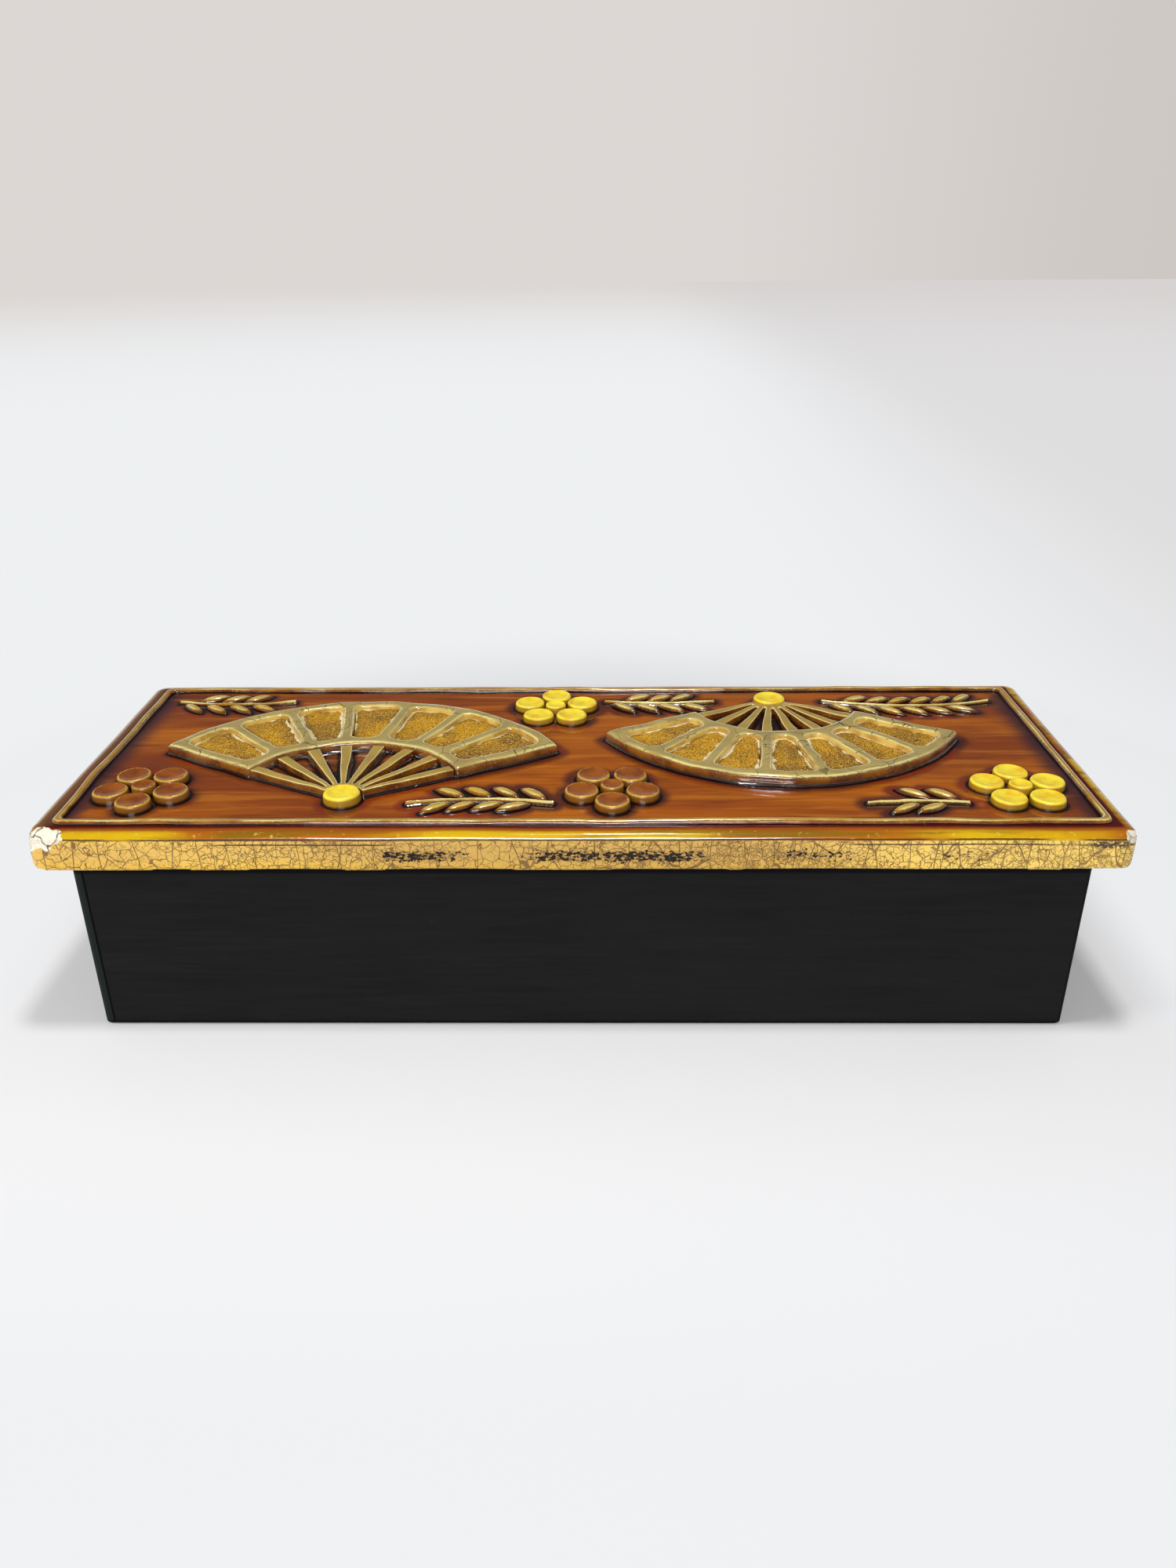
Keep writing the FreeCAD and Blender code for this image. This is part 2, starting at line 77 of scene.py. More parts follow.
class Value:
    """A node's output that takes part in sums: each sign adds a Math node to its tree."""

    __add__, __radd__ = sign("ADD")
    __sub__, __rsub__ = sign("SUBTRACT")
    __mul__, __rmul__ = sign("MULTIPLY")
    __truediv__, __rtruediv__ = sign("DIVIDE")
    __pow__, __rpow__ = sign("POWER")

    def __init__(self, finish, socket):
        self.finish = finish
        self.socket = socket

    def __abs__(self):
        return self.finish.maths("ABSOLUTE", self)

    def rise(self, low, high):
        """0 up to low, 1 from high, and smooth between; low may be the higher of the two."""
        sockets = {"Value": self, "From Min": low, "From Max": high}
        return self.finish.add("MapRange", {"interpolation_type": "SMOOTHSTEP"}, sockets)


class Finish:
    """The node tree of one material, or of the world."""

    def __init__(self, name, kind="materials"):
        self.owner = getattr(bpy.data, kind).new(name)
        self.owner.use_nodes = True
        self.tree = self.owner.node_tree
        self.tree.nodes.clear()

    def add(self, kind, settings=None, sockets=None, output=0):
        """Adds a node: its settings first, then the values or links of its sockets."""
        node = self.tree.nodes.new("ShaderNode" + kind)
        for name, value in (settings or {}).items():
            setattr(node, name, value)
        for name, value in (sockets or {}).items():
            if isinstance(value, Value):
                self.tree.links.new(value.socket, node.inputs[name])
            else:
                node.inputs[name].default_value = value
        return Value(self, node.outputs[output]) if node.outputs else None

    def maths(self, operation, *values):
        return self.add("Math", {"operation": operation}, dict(enumerate(values)))

    def most(self, first, *others):
        """The greatest of several values at each point."""
        for other in others:
            first = self.maths("MAXIMUM", first, other)
        return first

    def mix(self, factor, first, second):
        """One colour turning into another as the factor goes from 0 to 1."""
        return self.add("Mix", {"data_type": "RGBA"}, {0: factor, 6: first, 7: second}, output=2)

    def layered(self, colour, *layers):
        """A colour under thinner layers, each with its cover from 0 to 1 and its own tint."""
        for cover, *pots in layers:
            colour = self.mix(cover, colour, tint(*pots))
        return colour

    def place(self, stretch=(1, 1, 1)):
        """The point on the piece in millimetres, each direction shrunk by its stretch."""
        spot = self.add("TexCoord", output="Object")
        return self.add("Mapping", {}, {"Vector": spot, "Scale": [1 / MM / s for s in stretch]})

    def axis(self, point, letter):
        return self.add("SeparateXYZ", {}, {0: point}, output="XYZ".index(letter))

    def at(self, letter):
        """How far along X, Y or Z the point lies, in millimetres."""
        return self.axis(self.place(), letter)

    def facing(self, letter):
        """How squarely the surface faces along X, Y or Z, from -1 to 1."""
        return self.axis(self.add("NewGeometry", output="Normal"), letter)

    def cloud(self, size, stretch=(1, 1, 1), detail=3.0, roughness=0.5, distortion=0.0):
        """Soft noise from 0 to 1 with blotches of that size in millimetres."""
        sockets = {
            "Vector": self.place(stretch),
            "Scale": 1 / size,
            "Detail": detail,
            "Roughness": roughness,
            "Distortion": distortion,
        }
        return self.add("TexNoise", {}, sockets)

    def crazing(self, size, stretch=(1, 1, 1), waver=0.25):
        """How far a point lies from the nearest crack of a net with cells of that size, in cells."""
        spot = self.place(stretch)
        colour = self.add("TexNoise", {}, {"Vector": spot, "Scale": 1 / size}, output="Color")
        shift = self.add("VectorMath", {"operation": "SCALE"}, {0: colour, "Scale": waver * size})
        moved = self.add("VectorMath", {"operation": "ADD"}, {0: spot, 1: shift})
        return self.add("TexVoronoi", {"feature": "DISTANCE_TO_EDGE"}, {"Vector": moved, "Scale": 1 / size})

    def attribute(self, name):
        return self.add("Attribute", {"attribute_name": name}, output="Fac")

    def coat(self, colour, height, depth, sockets):
        """The material of that colour, its relief a height from 0 to 1 times a depth in millimetres."""
        relief = self.add("Bump", {}, {"Height": height, "Distance": depth * MM})
        shader = self.add("BsdfPrincipled", {}, {"Base Color": colour, "Normal": relief, **sockets})
        self.add("OutputMaterial", {}, {"Surface": shader})
        return self.owner


def tint(red, green, blue):
    """A colour as mixed on the pots, 0 to 255, as the shader takes it."""

    def plain(part):
        share = part / 255
        return share / 12.92 if share <= 0.04045 else ((share + 0.055) / 1.055) ** 2.4

    return (plain(red), plain(green), plain(blue), 1.0)


def corners(node):
    """A frame node's lowest and highest corners in millimetres."""
    return [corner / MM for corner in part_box(node)]


def merged(node):
    """A copy of a frame node as a bmesh, its loose triangles joined."""
    bm = bmesh.new()
    bm.from_mesh(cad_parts[node].data)
    bmesh.ops.remove_doubles(bm, verts=bm.verts, dist=0.001 * MM)
    return bm


def new_piece(name, bm, finish, smooth=True):
    """Turns a bmesh into an object of that name and finish."""
    mesh = bpy.data.meshes.new(name)
    bm.to_mesh(mesh)
    bm.free()
    if "custom_normal" in mesh.attributes:
        mesh.attributes.remove(mesh.attributes["custom_normal"])
    for face in mesh.polygons:
        face.use_smooth = smooth
    mesh.materials.append(finish)
    piece = bpy.data.objects.new(name, mesh)
    bpy.context.scene.collection.objects.link(piece)
    return piece


def fit(piece, body, node):
    """The piece rides on that body and stands for that frame node."""
    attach(piece, body)
    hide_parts(node)


def eased(name, node, finish, ease):
    """A sawn piece with its sharp edges eased by a plane stroke or sandpaper."""
    bm = merged(node)
    bmesh.ops.dissolve_limit(bm, angle_limit=math.radians(1), verts=bm.verts, edges=bm.edges)
    bmesh.ops.bevel(
        bm,
        geom=[e for e in bm.edges if len(e.link_faces) == 2 and e.calc_face_angle() > math.radians(25)],
        offset=ease * MM,
        segments=2,
        profile=0.5,
        affect="EDGES",
        material=-1,
        clamp_overlap=True,
    )
    piece = new_piece(name, bm, finish)
    piece.data.set_sharp_from_angle(angle=math.radians(35))
    weighted = piece.modifiers.new("even_faces", "WEIGHTED_NORMAL")
    weighted.keep_sharp = True
    return piece


board_ease = 0.25
case_corner = corners("back_board")[1]
# The left end board shows as a narrow strip beside its joint, and painted shade, nearly black, reaches this
# far in from the foot, from the top under the lid's overhang and from the right end.
strip_edge = 2.5 - case_corner.x
foot_shade, lid_shade, end_shade = 1.1, 4.6, 0.6


def black_paint():
    """Black paint over wood: faint brush ribs along the board, a little dust in the satin, and painted shade
    at its borders.
    """
    finish = Finish("black_paint")
    x, y, z = (finish.at(letter) for letter in "XYZ")
    ribs = finish.cloud(1.2, (18, 1, 1), detail=4.0, roughness=0.6)
    grain = finish.cloud(5.0, (9, 1, 1))
    patches = finish.cloud(45.0, detail=2.0)
    specks = finish.crazing(9.0).rise(0.5, 0.62)
    front = y.rise(0.0, -case_corner.y)
    strip = x.rise(strip_edge, strip_edge - 0.2) * front
    joint = abs(x - strip_edge).rise(0.42, 0.2) * front
    # Painted shade, nearly black: the contact line at the foot, the lid's shadow at the top and a dark line
    # at the right end.
    painted_shade = finish.most(
        z.rise(foot_shade + 0.7, foot_shade),
        z.rise(case_corner.z - lid_shade - 1.0, case_corner.z - lid_shade),
        x.rise(case_corner.x - end_shade - 0.5, case_corner.x - end_shade),
    )
    colour = finish.layered(
        tint(22, 21, 22),
        ((ribs * 0.6 + grain * 0.4).rise(0.35, 0.68), 29, 28, 28),
        (patches.rise(0.4, 0.7) * 0.35, 26, 30, 28),
        (specks * 0.2, 70, 68, 66),
        (strip * 0.9, 28, 36, 32),
        (joint, 0, 0, 0),
        (painted_shade * 0.95, 2, 2, 6),
    )
    return finish.coat(colour, ribs * 0.7 + grain * 0.3, 0.025, {
        "Roughness": 0.46 + 0.16 * ribs + 0.1 * patches,
        "Specular IOR Level": 0.07,
    })


black_painted = black_paint()
for board in ("front_board", "back_board", "left_end_board", "right_end_board"):
    fit(eased("painted_" + board, board, black_painted, board_ease), "case", board)

# The base, the loose tongues and the fitting board.
# Quarter-sawn timber left bare, planed and waxed. The base lies in the boards' groove, the tongues pin
# the mitres, and the fitting board lies on the base with a seat cut for each thing that it holds.

timber_ease = 0.35
# The middle of the tree that the timber was sawn from, and the width of a year's ring.
pith_y, pith_z, ring = 62.0, -95.0, 2.6


def bare_timber():
    """Pale reddish timber with straight grain along the box and rings across its ends."""
    finish = Finish("bare_timber")
    drift = finish.cloud(30.0, (14, 1, 1), detail=4.0) * 9.0
    across = finish.at("Y") - pith_y
    up = finish.at("Z") - pith_z
    phase = finish.maths("FRACT", ((across * across + up * up) ** 0.5 + drift) / ring)
    late = phase.rise(0.45, 0.95) * phase.rise(1.0, 0.96)
    pores = finish.cloud(0.5, (22, 1, 1), detail=2.0)
    fleck = pores.rise(0.58, 0.75)
    tone = finish.cloud(60.0, (3, 1, 1), detail=2.0)
    colour = finish.layered(
        tint(190, 146, 98),
        (tone.rise(0.3, 0.7), 172, 124, 78),
        (late * 0.65, 132, 86, 50),
        (fleck * 0.5, 108, 70, 42),
    )
    return finish.coat(colour, late * 0.4 + fleck * -0.6, 0.06, {
        "Roughness": 0.5 + 0.18 * pores,
        "Specular IOR Level": 0.35,
    })


timber = bare_timber()
for board in ("base_board", "fitting_board"):
    fit(eased("planed_" + board, board, timber, timber_ease), "case", board)
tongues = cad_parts["corner_tongues"].data
tongues.materials.clear()
tongues.materials.append(timber)

# The ink stone.
# A slab of fine slate, sawn and rubbed smooth, with the grinding land and the deep sea cut into it.
# It drops into its seat in the fitting board, and dried ink has stained the sea.

seed = 11
noise.seed_set(seed)
stone_low, stone_high = corners("ink_stone")
land_drop = 3.2
stained_share = 0.42
stain_top = stone_high.z - land_drop
stain_end = stone_low.x + stained_share * (stone_high.x - stone_low.x)


def clay(name, node, finish, grain, soften, waver, waver_size=12.0, sink=0.0):
    """A frame node worked over by hand: finely remeshed, edges rubbed soft and faces left uneven."""
    bm = merged(node)
    foot = min(v.co.z for v in bm.verts)
    for v in bm.verts:
        if v.co.z < foot + 0.01 * MM:
            v.co.z -= sink * MM
    rough = new_piece(name, bm, finish)
    remesh = rough.modifiers.new("remesh", "REMESH")
    remesh.mode = "VOXEL"
    remesh.voxel_size = grain * MM
    fine = bpy.data.meshes.new_from_object(rough.evaluated_get(bpy.context.evaluated_depsgraph_get()))
    bpy.data.objects.remove(rough)
    bm = bmesh.new()
    bm.from_mesh(fine)
    bpy.data.meshes.remove(fine)
    for stroke in range(soften):
        bmesh.ops.smooth_vert(
            bm, verts=bm.verts, factor=0.5, use_axis_x=True, use_axis_y=True, use_axis_z=True
        )
    for v in bm.verts:
        v.co += noise.noise_vector(v.co / (waver_size * MM)) * waver * MM
    return new_piece(name, bm, finish)


def slate():
    """Dark blue-grey slate with faint bedding, darker and glossier where ink has dried."""
    finish = Finish("slate")
    bedding = finish.cloud(9.0, (5, 2, 0.35), detail=5.0, roughness=0.6)
    grit = finish.cloud(0.7, detail=2.0)
    stain = (finish.at("Z") + finish.cloud(14.0) * 3.0).rise(stain_top + 2.2, stain_top - 0.6)
    stain = stain * finish.at("X").rise(stain_end, stain_end - 14.0)
    colour = finish.layered(
        tint(58, 62, 68),
        (bedding.rise(0.35, 0.65), 78, 82, 86),
        (grit.rise(0.6, 0.75) * 0.3, 120, 122, 122),
        (stain * 0.85, 20, 19, 22),
    )
    return finish.coat(colour, grit * 0.6 + bedding * 0.4, 0.05, {
        "Roughness": 0.55 + 0.2 * grit - 0.25 * stain,
        "Specular IOR Level": 0.4,
    })


stone = clay("rubbed_ink_stone", "ink_stone", slate(), grain=0.6, soften=4, waver=0.06)
fit(stone, "stone", "ink_stone")

# The water dropper.
# A small hollow bottle of porcelain under a grey-green glaze, with an air hole for the finger and a
# spout that drips. The glaze thins to a paler line along the edges and is finely crazed.


def celadon():
    """Grey-green glaze, pale where it breaks over edges and holes, with a thin brown crazing."""
    finish = Finish("celadon")
    blotch = finish.cloud(11.0)
    net = finish.crazing(4.2, waver=0.5).rise(0.035, 0.01)
    pin = finish.cloud(0.8, detail=1.0).rise(0.7, 0.8)
    colour = finish.layered(
        tint(150, 176, 156),
        (blotch.rise(0.3, 0.7), 170, 190, 168),
        (finish.attribute("edge") * 0.7, 214, 218, 196),
        (net * 0.45, 112, 104, 74),
        (pin * 0.3, 96, 92, 70),
    )
    return finish.coat(colour, blotch * 0.8 - 0.1 * net, 0.12, {
        "Roughness": 0.14 + 0.1 * blotch,
        "Coat Weight": 0.5,
        "Coat Roughness": 0.05,
    })


def note(piece, name, values):
    """Keeps a number for each point of the mesh, in an attribute of that name."""
    layer = piece.data.attributes.new(name, "FLOAT", "POINT")
    layer.data.foreach_set("value", values)


def proudness(piece, strength):
    """How far each point stands out from its neighbours, from 0 to 1, evened out among them."""
    bm = bmesh.new()
    bm.from_mesh(piece.data)
    around = [[e.other_vert(v) for e in v.link_edges] for v in bm.verts]
    values = []
    for v, others in zip(bm.verts, around):
        middle = sum((other.co for other in others), Vector()) / len(others)
        values.append((v.co - middle).dot(v.normal) / MM)
    for stroke in range(3):
        values = [
            (own + sum(values[other.index] for other in others)) / (1 + len(others))
            for own, others in zip(values, around)
        ]
    bm.free()
    return [max(0.0, min(1.0, value * strength)) for value in values]


dropper = clay("glazed_water_dropper", "water_dropper", celadon(), grain=0.5, soften=9, waver=0.1)
note(dropper, "edge", proudness(dropper, 40.0))
fit(dropper, "dropper", "water_dropper")

# The ink stick.
# Lamp soot and glue pressed in a wooden mould and dried, so that it is black with a dull sheen.
# One end is worn slanting, and smoother, by grinding it with water on the stone.

worn_end = corners("ink_stick")[1].x - 2.5


def pressed_ink():
    """Dull black ink with a cloudy bloom and fine pits, darker and smoother where it is worn."""
    finish = Finish("pressed_ink")
    worn = finish.at("X").rise(worn_end - 2.0, worn_end)
    cloudy = finish.cloud(7.0, detail=4.0)
    pits = finish.cloud(0.9, detail=2.0).rise(0.62, 0.72)
    colour = finish.layered(
        tint(27, 26, 30),
        (cloudy.rise(0.35, 0.7), 46, 44, 47),
        (worn * 0.8, 16, 16, 20),
    )
    return finish.coat(colour, cloudy * 0.5 - 0.5 * pits, 0.08, {
        "Roughness": 0.48 + 0.2 * cloudy - 0.25 * worn,
    })


ink = clay("pressed_ink_stick", "ink_stick", pressed_ink(), grain=0.4, soften=3, waver=0.08)
fit(ink, "ink", "ink_stick")

# The brush tray and its two rests.
# The tray is cut from one length of the bare timber, and two notched rests are glued across it.
# It stands on the base in front of the fitting board and lifts straight out with the brushes.

for node in ("brush_tray", "brush_rests"):
    fit(eased("planed_" + node, node, timber, timber_ease), "tray", node)

# The two writing brushes.
# Each has a bamboo handle cut between two joints, a turned horn collar, and a tuft of hair that is
# bound, glued into the collar and drawn to a point. They lie in the notches, pointing opposite ways.

joint_swell = 0.35
joint_half = 1.6
joint_steps = 6
joint_margin = 3.0
end_round = 0.8
collar_bead = 0.35
tuft_steps = 26
strand_sides = 72


def turned(name, profile, middle, way, finish, sides=40):
    """A turned piece: a profile of (distance along, radius) spun round the axis through the middle."""
    bm = bmesh.new()
    line = [bm.verts.new((along * MM, 0, radius * MM)) for along, radius in profile]
    geom = line + [bm.edges.new(pair) for pair in zip(line, line[1:])]
    full_turn = {"cent": (0, 0, 0), "axis": (1, 0, 0), "angle": 2 * math.pi}
    bmesh.ops.spin(bm, geom=geom, steps=sides, use_merge=True, **full_turn)
    bmesh.ops.remove_doubles(bm, verts=bm.verts, dist=0.01 * MM)
    if way < 0:
        half_turn = Matrix.Rotation(math.pi, 3, "Z")
        bmesh.ops.rotate(bm, verts=bm.verts, cent=(0, 0, 0), matrix=half_turn)
    bmesh.ops.translate(bm, verts=bm.verts, vec=middle)
    bmesh.ops.recalc_face_normals(bm, faces=bm.faces)
    return new_piece(name, bm, finish)


def bamboo():
    """Honey-coloured bamboo skin with fine fibres along it and freckles of brown."""
    finish = Finish("bamboo")
    fibre = finish.cloud(0.35, (60, 1, 1))
    tone = finish.cloud(26.0, (2.5, 1, 1))
    freckle = finish.cloud(2.2, (2, 1, 1), detail=2.0).rise(0.66, 0.74)
    colour = finish.layered(
        tint(212, 176, 112),
        (tone.rise(0.3, 0.7), 188, 142, 78),
        (fibre.rise(0.45, 0.75) * 0.4, 150, 106, 56),
        (freckle * 0.55, 112, 68, 34),
        (finish.attribute("joint") * 0.7, 126, 88, 48),
    )
    return finish.coat(colour, fibre, 0.03, {
        "Roughness": 0.3 + 0.12 * fibre,
        "Coat Weight": 0.3,
        "Coat Roughness": 0.15,
    })


def horn():
    """Polished dark horn with paler smoky streaks along it."""
    finish = Finish("horn")
    smoke = finish.cloud(3.0, (6, 1, 1), detail=4.0)
    colour = finish.mix(smoke.rise(0.4, 0.7), tint(36, 28, 24), tint(104, 78, 54))
    return finish.coat(colour, smoke, 0.03, {
        "Roughness": 0.16 + 0.1 * smoke,
        "Coat Weight": 0.4,
        "Coat Roughness": 0.08,
    })


def hair():
    """Pale goat hair: fine strands along the tuft, browner towards the point where ink has been."""
    finish = Finish("hair")
    strands = finish.cloud(0.22, (70, 1, 1), detail=2.0)
    locks = finish.cloud(1.3, (14, 1, 1), detail=2.0)
    inked = finish.attribute("tip").rise(0.45, 1.0)
    colour = finish.layered(
        tint(196, 182, 152),
        (strands.rise(0.3, 0.7), 236, 228, 206),
        (locks.rise(0.5, 0.75) * 0.4, 150, 128, 92),
        (inked * 0.8, 92, 80, 66),
    )
    return finish.coat(colour, strands * 0.7 + locks * 0.3, 0.12, {
        "Roughness": 0.55 + 0.15 * strands,
        "Sheen Weight": 0.25,
    })


def handle_profile(length, radius, joints):
    """A bamboo handle: rounded ends, straight between, and a ridge with a groove at each joint."""
    profile = [
        (0, 0),
        (0, radius - end_round),
        (0.25 * end_round, radius - 0.3 * end_round),
        (end_round, radius),
    ]
    for place in joints:
        for step in range(-joint_steps, joint_steps + 1):
            share = step / joint_steps
            ridge = joint_swell * math.cos(share * math.pi / 2) ** 2
            groove = joint_swell * 0.9 if step == 0 else 0.0
            profile.append((place + share * joint_half, radius + ridge - groove))
    return profile + [(length, radius), (length, 0)]


def collar_profile(length, radius):
    """A turned horn collar: a rounded bead at each end and a slight waist between."""
    waist = radius - collar_bead
    bead = [(0, waist), (0.3, radius - 0.1), (0.9, radius), (1.5, radius - 0.1), (1.9, waist)]
    far_bead = [(length - along, girth) for along, girth in reversed(bead)]
    return [(0, 0)] + bead + [(0.5 * length, waist - 0.15)] + far_bead + [(length, 0)]


def tuft_profile(length, radius):
    """A tuft's outline: full at the collar, a soft belly, then a long hollow taper to the point."""
    profile = [(0, 0)]
    for step in range(tuft_steps):
        share = step / tuft_steps
        belly = radius * (0.93 + 0.12 * math.sin(math.pi * min(share / 0.5, 1.0)))
        taper = math.cos(max(0.0, share - 0.35) / 0.65 * math.pi / 2) ** 0.85
        profile.append((share * length, max(0.02, belly * taper)))
    return profile + [(length, 0)]


def comb(tuft, root):
    """Draws the tuft's surface in along its locks and its finer strands."""
    for v in tuft.data.vertices:
        out = Vector((0, v.co.y - root.y, v.co.z - root.z))
        angle = math.atan2(out.y, out.z)
        across, up = math.cos(angle), math.sin(angle)
        lock = noise.noise(Vector((across * 5, up * 5, v.co.x / (18 * MM))))
        strand = noise.noise(Vector((across * 14, up * 14, v.co.x / (40 * MM))))
        v.co -= out * (0.05 + 0.05 * lock + 0.06 * strand)


bamboo_skin, horn_polish, goat_hair = bamboo(), horn(), hair()
for name, way, joints in (("large_brush", 1, (0.03, 0.62)), ("small_brush", -1, (0.04, 0.7))):
    boxes = [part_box(name + part) for part in ("_handle", "_collar", "_tuft")]
    starts = [low.x if way > 0 else high.x for low, high in boxes]
    lengths = [(high.x - low.x) / MM for low, high in boxes]
    middle = (boxes[0][0] + boxes[0][1]) / 2
    butt, foot, root = (Vector((start, middle.y, middle.z)) for start in starts)
    radius, collar_radius = ((high.z - low.z) / 2 / MM for low, high in boxes[:2])

    places = [joint_margin + share * (lengths[0] - 2 * joint_margin) for share in joints]
    handle = turned(name + "_bamboo", handle_profile(lengths[0], radius, places), butt, way, bamboo_skin)
    joints_x = [butt.x + way * place * MM for place in places]
    gaps = [min(abs(v.co.x - x) for x in joints_x) / (0.7 * MM) for v in handle.data.vertices]
    note(handle, "joint", [max(0.0, 1.0 - gap) for gap in gaps])
    fit(handle, name, name + "_handle")

    collar = turned(name + "_horn", collar_profile(lengths[1], collar_radius), foot, way, horn_polish)
    fit(collar, name, name + "_collar")

    tuft = turned(name + "_hair", tuft_profile(lengths[2], radius), root, way, goat_hair, strand_sides)
    comb(tuft, root)
    note(tuft, "tip", [abs(v.co.x - root.x) / (lengths[2] * MM) for v in tuft.data.vertices])
    fit(tuft, name, name + "_tuft")

# The board under the lid.
# A thin board of the bare timber, chamfered below so that it finds its way, glued under the tile.

under_board = eased("planed_locating_board", "locating_board", timber, timber_ease)
fit(under_board, "lid", "locating_board")

# The clay bead round the lid.
# A hand-rolled coil of clay laid just in from the edge and pressed down, then covered with a gold
# lustre that runs off its top, so that it is khaki on the crown; along both feet it is dark with painted
# shade.

tile_low, tile_high = corners("lid_tile")
ground = tile_high.z
bead_high = corners("border_bead")[1]


def lustre(name, crown, tall, cracks=True, flat=0.8, warmth=0.5, highlight_from=0.3, pocketed=False):
    """Gold lustre on clay: khaki gold on the crown, brown down the sides, and painted shade almost black at
    the foot.
    """
    finish = Finish(name)
    height = finish.at("Z") - ground
    lean = finish.facing("Z")
    blotch = finish.cloud(7.0)
    fine = finish.cloud(0.9)
    ragged = (fine - 0.5) * 0.4
    raised = (height + ragged).rise(0.45 * tall, 0.75 * tall)
    top = (lean + ragged).rise(flat - 0.45, flat) * raised
    # foot: painted shade, almost black, low on the sides where the piece meets the tile.
    foot = (height + ragged * 0.8).rise(0.45 * tall, 0.12 * tall)

    # The crown: blotched, warmer where it bends away, and pale along the breaks, where the glaze thins over
    # the edge and a painted highlight lies; the worn cloud only cuts that highlight into stretches.
    golden = finish.cloud(34.0, detail=2.0).rise(0.46, 0.6) * lean.rise(0.99, 0.9)
    worn = finish.cloud(16.0).rise(highlight_from, highlight_from + 0.25)
    edge_break_and_highlight = top * worn * (lean + ragged * 0.1).rise(0.992, 0.92)
    crown_deep = tuple(0.8 * part for part in crown[:3]) + (1.0,)
    colour = finish.layered(
        finish.mix(blotch.rise(0.3, 0.7), crown, crown_deep),
        (golden * warmth, 206, 150, 46),
        (fine.rise(0.64, 0.76) * 0.4, 96, 76, 30),
        (edge_break_and_highlight * 0.85, 244, 236, 156),
    )

    # The sides: brown with flecks of gold, and a paler wall inside a pocket.
    side = finish.layered(
        tint(146, 88, 22),
        ((blotch + ragged).rise(0.35, 0.65), 98, 46, 14),
        (fine.rise(0.55, 0.72) * 0.5, 184, 140, 48),
    )
    if pocketed:
        inside = (finish.attribute("bed") + ragged * 2.0).rise(2.6, 1.4)
        wall = finish.mix(blotch.rise(0.4, 0.6), tint(226, 190, 96), tint(190, 146, 56))
        side = finish.mix(inside * 0.9, side, wall)
        # No painted shade on a pocket's inner wall.
        foot = foot * (1.0 - inside)
    # The painted shade at the foot lies over crown and sides alike.
    colour = finish.mix(foot * 0.94, finish.mix(top, side, colour), tint(20, 8, 10))

    net = finish.crazing(8.5, waver=0.6).rise(0.016, 0.006) * finish.cloud(24.0).rise(0.42, 0.55)
    if cracks:
        colour = finish.mix(net * top * 0.85, colour, tint(30, 22, 14))
    return finish.coat(colour, blotch * 0.7 + fine * 0.06 - 0.15 * net, 0.35, {
        "Metallic": 0.15 * top,
        "Roughness": 0.16 + 0.12 * fine,
        "Coat Weight": 1.0,
    })


bead_look = {"tall": bead_high.z - ground, "cracks": False, "flat": 0.93, "warmth": 0.9, "highlight_from": 0.41}
bead_gold = lustre("bead_lustre", tint(196, 154, 68), **bead_look)
bead_hand = {"grain": 0.36, "soften": 5, "waver": 0.4, "waver_size": 16.0, "sink": 0.5}
bead = clay("rolled_border_bead", "border_bead", bead_gold, **bead_hand)
fit(bead, "lid", "border_bead")

# The two open fans.
# Each leaf is cut from a slab of clay with its panels taken out down to a sanded bed, and laid on the
# tile above eight rolled sticks that meet at a pellet. Slip joins them, and the lustre covers all.

leaf_tall = corners("left_fan_leaf")[1].z - ground
stick_tall = corners("left_fan_sticks")[1].z - ground
leaf_hand = {"grain": 0.45, "soften": 10, "waver": 0.45, "waver_size": 11.0, "sink": 0.6}
stick_hand = {"grain": 0.32, "soften": 5, "waver": 0.3, "waver_size": 8.0, "sink": 0.6}


def flare(piece, reach):
    """Draws the foot of a clay piece out into the fillet that the glaze leaves there."""
    outward = [Vector((v.normal.x, v.normal.y, 0)) for v in piece.data.vertices]
    for v, out in zip(piece.data.vertices, outward):
        rise = 1 - (v.co.z / MM - ground) / reach
        if rise > 0:
            v.co += out * min(rise, 1.0) ** 2 * reach * 0.7 * MM


leaf_gold = lustre("leaf_lustre", tint(204, 180, 106), leaf_tall, pocketed=True)
stick_gold = lustre("stick_lustre", tint(206, 172, 82), stick_tall, cracks=False)
fan_leaves, fan_sticks = {}, {}
for side in ("left_fan", "right_fan"):
    fan_leaves[side] = clay(side + "_clay_leaf", side + "_leaf", leaf_gold, **leaf_hand)
    flare(fan_leaves[side], 0.9)
    fit(fan_leaves[side], "lid", side + "_leaf")
    fan_sticks[side] = clay(side + "_clay_sticks", side + "_sticks", stick_gold, **stick_hand)
    flare(fan_sticks[side], 0.7)
    fit(fan_sticks[side], "lid", side + "_sticks")

# The sanded beds in the fans' panels.
# Coarse sand was pressed into the wet clay inside each panel and washed with an ochre glaze, which
# stays matt and granular in the middle and gathers glossy and cream along the walls.


def distances(piece, others, farthest=20.0):
    """How far each point of the piece lies from the surfaces of the others, in millimetres."""
    points, faces = [], []
    for other in others:
        start = len(points)
        points += [v.co.copy() for v in other.data.vertices]
        faces += [[start + i for i in face.vertices] for face in other.data.polygons]
    tree = BVHTree.FromPolygons(points, faces)
    gaps = [tree.find_nearest(v.co, farthest * MM)[3] for v in piece.data.vertices]
    return [farthest if gap is None else gap / MM for gap in gaps]


